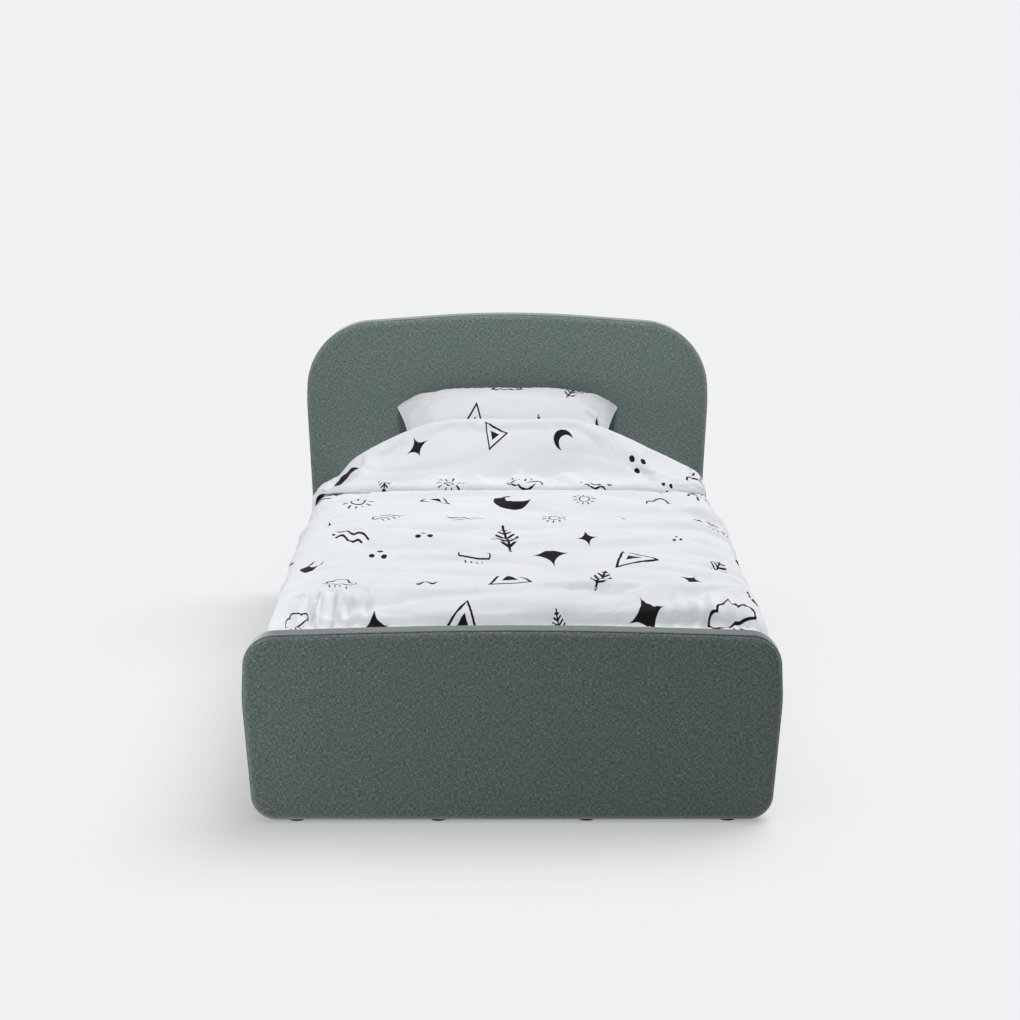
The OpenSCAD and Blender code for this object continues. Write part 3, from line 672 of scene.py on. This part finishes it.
def makeRail(side, look):
    low, high = (np.array(v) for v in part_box("rail_" + side + "_cover"))
    wide, tall = high[0] - low[0], high[2] - low[2]
    ring, along, around = roundedRing(boxCorners(wide, tall, look["cornerRadius"]), look["columns"])
    normal = outwards(ring)
    outer = 1 if side == "right" else -1
    stations = np.linspace(low[1] + look["endGap"], high[1] - look["endGap"], look["rows"])
    centre = (low + high) / 2
    rows = gridOf(centre[0] + ring[:, 0], stations[:, None], centre[2] + ring[:, 1])
    soft = softNoise(rows * (1, 0.5, 1), 0.07, look["seeds"][side]) * look["sag"]
    padded = np.clip(outer * ring[:, 0] / (wide / 2), 0, 1)
    crown = look["crown"] * (1 - (ring[:, 1] / (tall / 2)) ** 2) * padded
    # the sleeve's join runs along the lower inner corner
    fromSeam = np.hypot(ring[:, 0] + outer * (wide / 2 - look["seamIn"]),
                        ring[:, 1] + (tall / 2 - look["seamIn"]))
    seam = look["seamDepth"] * np.exp(-(fromSeam / look["seamWidth"] / 2) ** 2)
    push = (soft * (0.3 + 0.7 * padded) + crown - seam)[..., None] * normal[None]
    rows[..., 0] += push[..., 0]
    rows[..., 2] += push[..., 1]
    hub = np.broadcast_to(rows.mean(1, keepdims=True), rows.shape)
    ends = [np.stack([hub[k], (rows[k] + hub[k]) / 2, rows[k]]) for k in (0, -1)]
    caps = [np.concatenate([e[..., (0, 2)], e[:, :1, (0, 2)]], 1) for e in ends]
    sheets = [sheetOfQuads(rows, bandCloth(along, around, stations)[..., ::-1], closed=True)]
    sheets += [sheetOfQuads(e, c, closed=True) for e, c in zip(ends, caps)]
    rail = buildPiece("railCover_" + side, sheets, materials["board_fabric"], "frame")
    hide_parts("rail_" + side + "_cover")


for side in ("left", "right"):
    makeRail(side, rails)
print("rails covered")


# mattress: quilted ticking with corded edges, in an upper and a lower part that the zip joins
mattressLook = {
    "cornerRadius": 0.045, "columns": 620,
    "quilt": 0.082,   # side of a diamond
    "quiltRings": 56, "plainRings": 12,
    "channel": 0.0042,   # depth of the sewn lines
    "channelWidth": 0.0068,
    "puff": 0.0010,   # swell of the diamonds
    "cord": 0.0036,   # radius of the corded edge
    "bulge": 0.0012,
    "panelDrop": 0.0012,   # how far the panel lies below the corded edge
    "droop": 0.017,   # how far the upper corners at the head have softened
    "cloth": 0.0012,
}


def quiltHeight(x, y, look):
    side = look["quilt"]
    gaps = [np.abs((v + side / 2) % side - side / 2) / math.sqrt(2) for v in ((x + y), (x - y))]
    lines = sum(np.exp(-(gap / look["channelWidth"]) ** 2) for gap in gaps)
    swell = np.prod([np.clip(gap / (side / 2 / math.sqrt(2)), 0, 1) ** 0.5 for gap in gaps], axis=0)
    return -look["channel"] * np.clip(lines, 0, 1.15) + look["puff"] * swell


def smoothStep(a, b, v):
    t = np.clip((v - a) / (b - a), 0, 1)
    return t * t * (3 - 2 * t)


def soften(points, join, top, look):   # the corners under the pillow's ends sink a little
    high = np.clip((points[..., 2] - join) / (top - join), 0, 1)
    share = smoothStep(0.20, 0.33, np.abs(points[..., 0])) * smoothStep(0.50, 0.66, points[..., 1])
    points[..., 2] -= look["droop"] * share * high


def sideSection(tall, look):   # (inset, distance from the face) from the zip to the corded edge
    cord = look["cord"]
    side = [(0.0008 - look["bulge"] * math.sin(math.pi * share), tall - (tall - 0.0105) * share)
            for share in np.linspace(0, 1, 12)]
    corded = [(cord - cord * math.cos(a), 0.0050 - cord * math.sin(a))
              for a in np.radians((-55, -20, 15, 50, 85, 120))]
    return side + [(0.0026, 0.0094)] + corded + [(0.0086, 0.0036), (0.0110, look["panelDrop"])]


def makeMattressPart(name, node, look, upper):
    low, high = (np.array(v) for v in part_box(node))
    zipLow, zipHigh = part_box("mattress_zip")
    face, join, way = (high[2], zipHigh[2], 1) if upper else (low[2], zipLow[2], -1)
    wide, long = high[:2] - low[:2]
    middle = (low[:2] + high[:2]) / 2
    ring, along, around = roundedRing(boxCorners(wide, long, look["cornerRadius"]), look["columns"])
    ring = ring + middle
    normal = outwards(ring)
    section = sideSection(abs(face - join), look)
    rows = np.array([gridOf(*(ring - normal * inset).T, face - way * depth) for inset, depth in section])
    cloth = bandCloth(along, around, np.linspace(0, len(section) * 0.006, len(section)))
    # the panel: rings that draw in to a line along the middle, where both halves meet at the same points
    rim = rows[-1][:, :2]
    reach, pitch = (long - wide) / 2, around / len(ring)
    lengthwise = np.round(np.clip(rim[:, 1] - middle[1], -reach, reach) / pitch) * pitch
    spine = np.stack([np.full(len(rim), middle[0]), middle[1] + lengthwise], 1)
    rings = []
    for share in np.linspace(1, 0, look["quiltRings"] if upper else look["plainRings"]):
        flat = spine + (rim - spine) * share
        edge = np.clip((1 - share) * 8, 0, 1)
        up = quiltHeight(*flat.T, look) * edge if upper else 0.0
        rings.append(gridOf(*flat.T, face - way * look["panelDrop"] + way * up))
    rings = np.array(rings)
    rings[..., 2] = np.minimum(rings[..., 2], high[2]) if upper else np.maximum(rings[..., 2], low[2])
    if upper:
        soften(rows, join, high[2], look)
        soften(rings, join, high[2], look)
    panelCloth = np.concatenate([rings[..., :2], rings[:, :1, :2]], 1)
    sheets = [sheetOfQuads(rows, cloth, closed=True), sheetOfQuads(rings, panelCloth, closed=True)]
    part = buildPiece(name, sheets, materials["ticking"], "mattress", weld=0.00005)
    shell = part.modifiers.new("ticking", "SOLIDIFY")
    shell.thickness, shell.offset = look["cloth"], -1.0
    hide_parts(node, *(("mattress_core",) if upper else ()))


makeMattressPart("mattressUpper", "mattress_cover_top", mattressLook, True)
makeMattressPart("mattressLower", "mattress_cover_base", mattressLook, False)
print("mattress quilted")


# cloth settling: a grid of points is let swell and buckle a little, held by its edges
settling = {
    "frames": 20, "quality": 5,
    "pressure": 4.0, "ease": 0.035, "mass": 0.25, "stiff": 12.0, "bend": 0.6,
    "furthest": 0.008,   # longest move kept
    "still": 0.985,   # points held more than this don't move at all
}


def settleCloth(points, hold, look):
    rows, columns = points.shape[:2]
    mesh = bpy.data.meshes.new("settling")
    index = np.arange(rows * columns).reshape(rows, columns)
    quads = np.stack([index[:-1, :-1], index[:-1, 1:], index[1:, 1:], index[1:, :-1]], -1).reshape(-1, 4)
    mesh.from_pydata(points.reshape(-1, 3).tolist(), [], quads.tolist())
    cloth = bpy.data.objects.new("settling", mesh)
    scene = bpy.context.scene
    scene.collection.objects.link(cloth)
    group = cloth.vertex_groups.new(name="held")
    held = np.round(np.clip(np.broadcast_to(hold, (rows, columns)), 0, 1).reshape(-1), 2)
    for level in np.unique(held):
        if level > 0:
            group.add(np.nonzero(held == level)[0].tolist(), float(level), "REPLACE")
    modifier = cloth.modifiers.new("Cloth", "CLOTH")
    settings = modifier.settings
    settings.quality, settings.mass = look["quality"], look["mass"]
    settings.tension_stiffness = settings.compression_stiffness = look["stiff"]
    settings.shear_stiffness = look["stiff"] / 3
    settings.bending_stiffness = look["bend"]
    settings.vertex_group_mass = "held"
    settings.use_pressure = True
    settings.uniform_pressure_force = look["pressure"]
    settings.shrink_min = -look["ease"]
    settings.effector_weights.gravity = 0.0
    modifier.collision_settings.use_collision = False
    modifier.point_cache.frame_start, modifier.point_cache.frame_end = 1, look["frames"]
    for frame in range(1, look["frames"] + 1):
        scene.frame_set(frame)
    settled = cloth.evaluated_get(bpy.context.evaluated_depsgraph_get())
    found = np.empty(rows * columns * 3, np.float32)
    settled.to_mesh().vertices.foreach_get("co", found)
    settled.to_mesh_clear()
    bpy.data.objects.remove(cloth)
    bpy.data.meshes.remove(mesh)
    scene.frame_set(1)
    move = found.reshape(rows, columns, 3).astype(float) - points
    size = np.linalg.norm(move, axis=-1, keepdims=True)
    move *= np.minimum(1, look["furthest"] / np.maximum(size, 1e-9))
    move[held.reshape(rows, columns) > look["still"]] = 0
    print("cloth settled", rows, "x", columns, "mean move mm", round(float(size.mean() * 1000), 2))
    return points + move


def mix(a, b, t):
    return a + (b - a) * t


def rimSheet(near, far, cloth, rows):   # joins the borders of two grids
    near, far, border = (np.concatenate([grid[0], grid[1:, -1], grid[-1, -2::-1], grid[-2:0:-1, 0]])
                         for grid in (near, far, cloth))
    rim = np.array([mix(near, far, share) for share in np.linspace(0, 1, rows)])
    return sheetOfQuads(rim, np.repeat(np.concatenate([border, border[:1]])[None], rows, 0), closed=True)


# pillow: a crowned cushion whose sides pull in between four pointed corners
pillowLook = {
    "width": 0.440, "length": 0.320, "up": 0.056, "down": 0.038, "rim": 0.003, "tilt": 19.0, "pull": 0.12,
    "headFull": 0.75,   # how much fuller it is at the head
    "across": 97, "along": 73,
    "creaseDepth": 0.0030, "seamShare": 0.35, "lumpShare": 0.9, "lumpSize": 0.060,
    "settle": {"pressure": 3.0, "furthest": 0.006},
}


def plump(s):
    return np.sqrt(np.clip(1 - np.abs(s) ** 3.2, 0, None))


def pillowPoints(s, t, n, look):
    pull = look["pull"]
    across = look["width"] / 2 * s * (1 - pull * (1 - t * t))
    along = look["length"] / 2 * t * (1 - pull / 2 * (1 - s * s))
    lean = math.radians(look["tilt"])
    return np.stack([across, along * math.cos(lean) - n * math.sin(lean),
                     along * math.sin(lean) + n * math.cos(lean)], -1)


def pillowCreases(s, t, points, swell, look):   # they run in from the corners and along the seam
    fromSide, fromEnd = 1 - np.abs(s), 1 - np.abs(t)
    corner = np.hypot(fromSide * 1.5, fromEnd * 1.2)
    turn = np.arctan2(fromEnd * 1.2, fromSide * 1.5 + 1e-6)
    crease = np.sin(turn * 11 + 2.0 * softNoise(points, 0.09, 5.0)) * np.exp(-((corner - 0.34) / 0.20) ** 2)
    seamFold = np.sin(s * 34 + 3 * softNoise(points, 0.08, 8.0)) * np.exp(-((1 + t) / 0.12) ** 2)
    seamFold += np.sin(t * 27 + 3 * softNoise(points, 0.08, 2.0)) * np.exp(-(fromSide / 0.10) ** 2)
    lump = softNoise(points * (1, 1, 0.3), look["lumpSize"], 1.0) * swell
    return look["creaseDepth"] * (crease + look["seamShare"] * seamFold + look["lumpShare"] * lump)


def makePillow(look):
    lows, highs = zip(*(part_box("pillow_case_" + side) for side in ("front", "back")))
    s, t = np.meshgrid(*(np.sin(np.linspace(-1, 1, look[way]) * math.pi / 2) for way in ("across", "along")))
    swell = plump(s) * plump(t)
    crown = look["rim"] / 2 + look["up"] * swell * (1 + look["headFull"] * t)
    belly = -look["rim"] / 2 - look["down"] * swell
    top, under = (pillowPoints(s, t, n, look) for n in (crown, belly))
    shift = np.array([0.0, max(high[1] for high in highs) - max(top[..., 1].max(), under[..., 1].max()),
                      min(low[2] for low in lows) - under[..., 2].min()])
    top, under = top + shift, under + shift
    top[..., 2] += pillowCreases(s, t, top, swell, look)
    rimHold = 1 - smoothStep(0.0, 0.05, np.minimum(1 - np.abs(s), 1 - np.abs(t)))
    hold = np.maximum(rimHold, 0.5 * smoothStep(0.3, 0.8, t))
    top = settleCloth(top, 0.03 + 0.97 * hold, {**settling, **look["settle"]})
    cloth = np.stack([s * look["width"] / 2, t * look["length"] / 2 + 0.09], -1)
    sheets = [sheetOfQuads(top, cloth), sheetOfQuads(under, cloth + (1.0, 0.4), flip=True),
              rimSheet(under, top, cloth, 2)]
    pillow = buildPiece("pillow", sheets, materials["bed_linen"], "pillow", weld=0.00001)
    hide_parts("pillow_fill", "pillow_case_front", "pillow_case_back")


makePillow(pillowLook)
print("pillow plumped")


# duvet: one quilt over mattress and pillow, its head end turned back on itself
bedBox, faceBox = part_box("mattress_cover_top"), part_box("duvet_face")
duvetLook = {
    "bed": bedBox[1][2] + 0.0003, "flat": bedBox[1][0],   # the mattress's top and half its width
    "foot": faceBox[0][1] + 0.0015, "fold": faceBox[1][1] - 0.0015, "turned": 0.238, "nose": 0.014,
    # pairs: along the open part, and at the fold
    "innerRound": (0.024, 0.008), "hemUp": (faceBox[0][2], 0.2032), "leftIn": (0.015, 0.020),
    # pairs: the left side, and the right
    "sideLoft": (0.005, 0.012), "foldSideLoft": (0.0035, 0.006), "footSideLoft": (0.004, 0.0),
    "flare": (0.0155, 0.009),
    "leftRound": 0.022, "roundLong": 0.052,
    "loft": 0.030, "foldLoft": 0.012, "cloth": 0.001, "slit": 0.001,
    "tentRise": 0.1025, "tentFrom": 0.290, "tentTo": 0.517, "tentInner": 0.0946, "tentOuter": 0.396,
    "hemRound": 0.026,
    "footRoll": (0.072, 0.060),   # from the foot: where the edge ends, and how far the roll runs
    "settled": 0.12,   # length over which the filling thins behind the hem
    "hemSweep": 0.155,   # how far the turned part's hem runs back at its ends
    "flapLift": 0.010,   # how far the left end of the turned part stands off
    "fluteDepth": 0.0075, "fluteSize": 0.075,
    "spacing": 0.0072,
}


def noiseAt(x, y, z, size=1.0):
    return softNoise(gridOf(x, y, z), size)


def tentHeight(x, y, look):
    return (look["tentRise"] * smoothStep(look["tentFrom"], look["tentTo"], y)
            * (1 - smoothStep(look["tentInner"], look["tentOuter"], np.abs(x)))
            * (1 - smoothStep(0.28, look["flat"] - look["leftIn"][0], -x)))


def early(k, y):   # the sides draw in sooner than the middle, the left one most
    return y + 0.11 * smoothStep(6, 8, -k) + 0.06 * smoothStep(6, 8, k)


def hemLift(k, y, look):
    hem = look["fold"] - look["turned"]
    return smoothStep(hem - 0.5 * look["turned"], hem + 0.1 * look["turned"], early(k, y))


def drape(k, y, out, look):   # k runs from -12 to 12 across: 7 flat, 3 round the edge, 2 down the side
    ak, way, bed = np.abs(k), np.sign(k), look["bed"]
    hem = look["fold"] - look["turned"]
    drawIn = smoothStep(hem + 0.3 * look["turned"], hem + 0.8 * look["turned"], early(k, y))
    left, right = smoothStep(5, 8, -k), smoothStep(5, 8, k)
    flat = look["flat"] - mix(*look["leftIn"], drawIn) * left
    r = mix(look["innerRound"][0], mix(look["innerRound"][1], look["leftRound"], left), drawIn)
    x = flat * np.minimum(ak, 7) / 7
    slope = (tentHeight(way * (x + 0.001), y, look) - tentHeight(way * (x - 0.001), y, look)) / 0.002
    lean = np.sqrt(slope ** 2 + 1)
    angle = np.radians(90 * (1 - np.clip((ak - 7) / 3, 0, 1)))
    down = np.clip((ak - 10) / 2, 0, 1)
    top, turn = ak < 7, ak <= 10
    flare = (look["flare"][0] * left + look["flare"][1] * right) * (1 - drawIn) * smoothStep(0, 0.42, down)
    across = np.where(top, x - slope * out / lean,
                      np.where(turn, flat + (r + out) * np.cos(angle), flat + r + out + flare))
    sideHem = mix(*look["hemUp"], hemLift(k, y, look))
    up = np.where(top, bed + tentHeight(way * x, y, look) + out / lean,
                  np.where(turn, bed - r + (r + out + tentHeight(way * flat, y, look)) * np.sin(angle),
                           mix(bed - r, sideHem, down)))
    return gridOf(way * across, y, up)


def onTop(k):
    return 1 - smoothStep(4.5, 10, np.abs(k))


def bySide(k, pair):
    return np.where(k > 0, pair[1], pair[0])


def quarterRound(t, base):   # rises as a quarter circle does, from the base to 1
    return base + (1 - base) * np.sqrt(np.clip(1 - (1 - np.clip(t, 0, 1)) ** 2, 0, 1))


def hemPinch(gap, look):   # the quilt thins to its sewn edge
    return quarterRound(gap / look["hemRound"], 0.12)


def footSlope(y, look):   # the quilt rolls down to a thin edge before the footboard
    return quarterRound((y - look["foot"] - look["footRoll"][0]) / look["footRoll"][1], 0.10)


def rippleField(x, y, seed):   # soft cross folds with sharper valleys, finer ones between them
    bend = 0.06 * noiseAt(x / 0.35, y / 0.30, seed)
    long = noiseAt(x / 0.40, (y + bend) / 0.095, seed + 4)
    short = noiseAt(x / 0.16, (y + bend) / 0.042, seed + 8)
    slant = noiseAt((x + 0.8 * y) / 0.26, (y - 0.5 * x) / 0.055, seed + 15)
    crease = 1 - np.abs(noiseAt(x / 0.30, (y + 0.7 * bend) / 0.09, seed + 23)) * 5
    return 0.0150 * long + 0.0045 * short + 0.0065 * slant - 0.0045 * np.clip(crease, 0, 1) ** 2


def footGathers(x, y, look):   # upright folds where the corners are pushed against the footboard
    near = np.exp(-((y - look["foot"] - 0.11) / 0.06) ** 2)
    left = np.exp(-((x + 0.275) / 0.062) ** 2)
    right = 0.45 * np.exp(-((x - 0.300) / 0.055) ** 2)
    place = (x + 0.012 * noiseAt(x / 0.10, y / 0.07, 41.0)) * 2 * math.pi
    return 0.0085 * (np.sin(place / 0.027) + 0.6 * np.sin(place / 0.0165 + 1.0)) * near * (left + right)


def duvetGrid(look):   # columns across, rows from the foot to the fold and back along the turned part
    step, flat = look["spacing"], look["flat"]
    sideLong = look["bed"] - look["innerRound"][0] - look["hemUp"][0]
    half = np.concatenate([np.linspace(0, 7, int(flat / step) + 1), np.linspace(7, 10, 10)[1:],
                           np.linspace(10, 12, int(sideLong / step) + 2)[1:]])
    k = np.concatenate([-half[:0:-1], half])[None, :]
    edge = flat + look["roundLong"]
    fromMiddle = np.interp(np.abs(k), [0, 7, 10, 12], [0, flat, edge, edge + sideLong])
    hem = look["fold"] - look["turned"]
    hemAt = hem + look["hemSweep"] * smoothStep(5, 10, np.abs(k))
    openRows = np.linspace(0, 1, int((hem - look["foot"]) / step))[:, None]
    turned = mix(look["fold"], hemAt, np.linspace(0, 1, int(look["turned"] / step) + 6)[:, None])
    return SimpleNamespace(k=k, ak=np.abs(k), hem=hem, hemAt=hemAt, turned=turned,
                           main=np.concatenate([mix(look["foot"], hemAt, openRows), turned[-2::-1]]),
                           x=np.sign(k) * np.minimum(fromMiddle, flat + 0.03),
                           cloth=np.sign(k) * fromMiddle, sideGap=fromMiddle.max() - fromMiddle)


def settledIn(y, grid, look):   # flatter at the left shoulder, fuller at the right
    late = smoothStep(grid.hem, grid.hem + look["settled"], y)
    return 1 + late * (0.25 * smoothStep(3.5, 6.5, grid.k) - 0.5 * smoothStep(5, 7.5, -grid.k))


def mainFill(y, grid, look):
    crest = 1 + 0.18 * np.exp(-((y - look["foot"] - 0.17) / 0.08) ** 2)
    top = mix(crest * look["loft"], look["foldLoft"], smoothStep(grid.hem, grid.hem + look["settled"], y))
    atSide, atFold, atFoot = (bySide(grid.k, look[name])
                              for name in ("sideLoft", "foldSideLoft", "footSideLoft"))
    atSide = mix(atSide, atFold, hemLift(grid.k, y - 0.05, look)) + atFoot * (1 - smoothStep(-0.2, 0.2, y))
    full = mix(atSide, top, onTop(grid.k)) * settledIn(y, grid, look)
    return full * hemPinch(grid.sideGap, look) * footSlope(y, look)


def turnedFill(y, grid, look):
    atSide, fromHem = bySide(grid.k, look["foldSideLoft"]), y - grid.hemAt
    full = mix(atSide, look["foldLoft"], onTop(grid.k)) * settledIn(y, grid, look)
    roll = 0.004 * np.exp(-((fromHem - 0.012) / 0.02) ** 2) * smoothStep(7, 10, -grid.k)
    return (full + roll) * hemPinch(grid.sideGap, look) * hemPinch(fromHem, look)


def duvetHeights(grid, look):   # above the bed: the open part, and the turned part's two faces
    k, main, turned = grid.k, grid.main, grid.turned
    pinch, top, fromHem = hemPinch(grid.sideGap, look), onTop(k), turned - grid.hemAt
    mainTop = mainFill(main, grid, look) + 2 * look["cloth"]
    flap = look["flapLift"] * smoothStep(5.2, 8.5, -k) * (1 - smoothStep(0.05, 0.16, fromHem))
    turnedUnder = mainFill(turned, grid, look) + 2 * look["cloth"] + look["slit"] + flap
    turnedTop = turnedUnder + turnedFill(turned, grid, look) + 2 * look["cloth"]
    # loose cover: cross folds on the open part, softer swells on the turned part
    ripple = rippleField(grid.x, main, 2.0) * smoothStep(0.004, 0.050, grid.hemAt - main)
    mainTop += ripple * pinch * footSlope(main, look) * (0.35 + 0.65 * top)
    mainTop += footGathers(grid.x, main, look) * smoothStep(0.0, 0.03, main - look["foot"])
    calm = smoothStep(0.0, 0.05, fromHem) * (0.3 + 0.7 * smoothStep(0.02, 0.11, look["fold"] - turned))
    turnedTop += rippleField(grid.x, turned * 0.8, 21.0) * 0.75 * calm * (0.15 + 0.85 * top) * pinch
    return np.maximum(mainTop, 0.0035), turnedUnder, turnedTop


def clothAlong(points, across):   # cloth places from the length run along each column
    steps = np.linalg.norm(np.diff(points, axis=0), axis=2)
    run = np.concatenate([np.zeros((1, points.shape[1])), np.cumsum(steps, axis=0)])
    return gridOf(across, run)


def makeDuvet(look):
    grid = duvetGrid(look)
    k, main, turned = grid.k, grid.main, grid.turned
    mainTop, turnedUnder, turnedTop = duvetHeights(grid, look)
    hanging = smoothStep(8.5, 12, grid.ak)
    sway = look["fluteDepth"] * hanging * (1 - hemLift(k, main, look))
    sway = sway * noiseAt(np.sign(k) * 3, main / look["fluteSize"], 31.0)
    apart = hanging * (1 - hemLift(k, turned, look))
    under = drape(k, main, np.maximum(sway, -0.001) * 0.6, look)
    top = drape(k, main, mainTop + sway + 0.002 * hanging, look)
    fromFoot = main - look["foot"]
    held = (smoothStep(-0.015, 0.010, main - grid.hemAt), 1 - smoothStep(0.0, 0.02, fromFoot),
            0.6 - 0.6 * smoothStep(0.13, 0.17, fromFoot), 1 - smoothStep(0.0, 0.02, grid.sideGap))
    sideHold = 0.04 + 0.6 * smoothStep(6.5, 9, grid.ak)
    top = settleCloth(top, reduce(np.maximum, held, sideHold), settling)

    def nose(reach, first, last):   # rows that run round the fold
        return [drape(k, np.array([[look["fold"] + reach * math.cos(a)]]),
                      mix(first, last, 0.5 + 0.5 * math.sin(a)), look)[0]
                for a in np.radians((-72, -50, -28, -9, 9, 28, 50, 72))]

    turnedUpper = drape(k, turned, turnedTop + 0.004 * apart, look)
    fromEdge = reduce(np.minimum, (turned - grid.hemAt, look["fold"] - turned, grid.sideGap))
    turnedHold = np.maximum(1 - smoothStep(0.0, 0.02, fromEdge), sideHold)
    turnedUpper = settleCloth(turnedUpper, turnedHold, settling)
    turnedLower = drape(k, turned, turnedUnder + 0.002 * apart, look)
    outer = np.concatenate([under, nose(look["nose"], 0.0, turnedTop[:1]), turnedUpper])
    inner = np.concatenate([top, nose(look["slit"] / 2, mainTop[-1:], turnedUnder[:1]), turnedLower])
    outerCloth, innerCloth = clothAlong(outer, grid.cloth) + (0.37, 0.03), clothAlong(inner, grid.cloth)
    sheets = [sheetOfQuads(outer, outerCloth, flip=True), sheetOfQuads(inner, innerCloth),
              rimSheet(outer, inner, outerCloth, 3)]
    duvet = buildPiece("duvet", sheets, materials["bed_linen"], "duvet", weld=0.00001)
    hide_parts("duvet_fill", "duvet_face", "duvet_reverse")


makeDuvet(duvetLook)
print("duvet draped")


# studio: an endless pale floor under an even sky, brighter overhead, and soft lamps
studio = {
    "floorWhite": (0.60, 0.60, 0.606), "floorGlow": (0.32, 0.32, 0.326), "reach": 800.0,
    "skyTint": (0.985, 1.0, 1.03), "zenith": 0.60, "horizon": 0.15,
    "sunAim": (-0.42, -0.50, -1.0), "sunSpread": 45.0, "sunPower": 1.84,
    "lamps": (
        # place, aimed at, size, power, spread, what it misses
        ((0.10, -0.55, 2.30), (0.0, 0.60, 0.35), 1.0, 17.0, 95, ("duvet", "pillow")),
        ((-1.35, -1.60, 0.22), (-0.10, -0.75, 0.16), 0.5, 13.0, 180, ()),
        ((-1.20, -1.20, 2.60), (0.0, 0.50, 0.35), 1.0, 0.7, 45, ()),
    ),
}


def placeLamp(data, place, way):
    lamp = bpy.data.objects.new(data.name, data)
    lamp.location = place
    lamp.rotation_euler = Vector(way).to_track_quat("-Z", "Y").to_euler()
    lamp.visible_camera = False
    bpy.context.scene.collection.objects.link(lamp)
    return lamp


def makeStudio(look):
    shader = startMaterial("pale_floor", 0.95, 0.0)
    shader.inputs["Base Color"].default_value = (*look["floorWhite"], 1)
    shader.inputs["Emission Color"].default_value = (*look["floorGlow"], 1)
    shader.inputs["Emission Strength"].default_value = 1.0
    mesh = bpy.data.meshes.new("studioFloor")
    corners = [(x * look["reach"], y * look["reach"], 0) for x, y in ((-1, -1), (1, -1), (1, 1), (-1, 1))]
    mesh.from_pydata(corners, [], [(0, 1, 2, 3)])
    mesh.materials.append(atHand.material)
    floor = bpy.data.objects.new("studioFloor", mesh)
    bpy.context.scene.collection.objects.link(floor)
    world = bpy.data.worlds.new("studioSky")
    world.use_nodes = True
    atHand.tree = world.node_tree
    sky = atHand.tree.nodes["Background"]
    up = axesOf(addNode("TexCoord").outputs["Generated"])["Z"]
    rise = calc("MULTIPLY_ADD", up, 1.0, 0.0, clamp=True)
    strength = timesPlus(rise, look["zenith"] - look["horizon"], look["horizon"])
    sky.inputs["Color"].default_value = (*look["skyTint"], 1)
    feed(strength, sky.inputs["Strength"])
    bpy.context.scene.world = world
    sun = bpy.data.lights.new("keySun", "SUN")
    sun.angle, sun.energy = math.radians(look["sunSpread"]), look["sunPower"]
    placeLamp(sun, (0.0, 0.0, 4.0), look["sunAim"])
    # the near lamps miss the floor, which stays even, and the upper one misses the white linen
    for number, (place, target, size, power, spread, missed) in enumerate(look["lamps"]):
        near = bpy.data.lights.new("softLamp%d" % number, "AREA")
        near.shape = "DISK"
        near.size, near.energy, near.spread = size, power, math.radians(spread)
        lamp = placeLamp(near, place, Vector(target) - Vector(place))
        lit = bpy.data.collections.new("litBy" + near.name)
        for miss in (floor, *(bpy.data.objects[n] for n in missed)):
            lit.objects.link(miss)
        for member in lit.collection_objects:
            member.light_linking.link_state = "EXCLUDE"
        lamp.light_linking.receiver_collection = lit
    bpy.context.scene.view_settings.view_transform = "Standard"


makeStudio(studio)
print("studio lit")
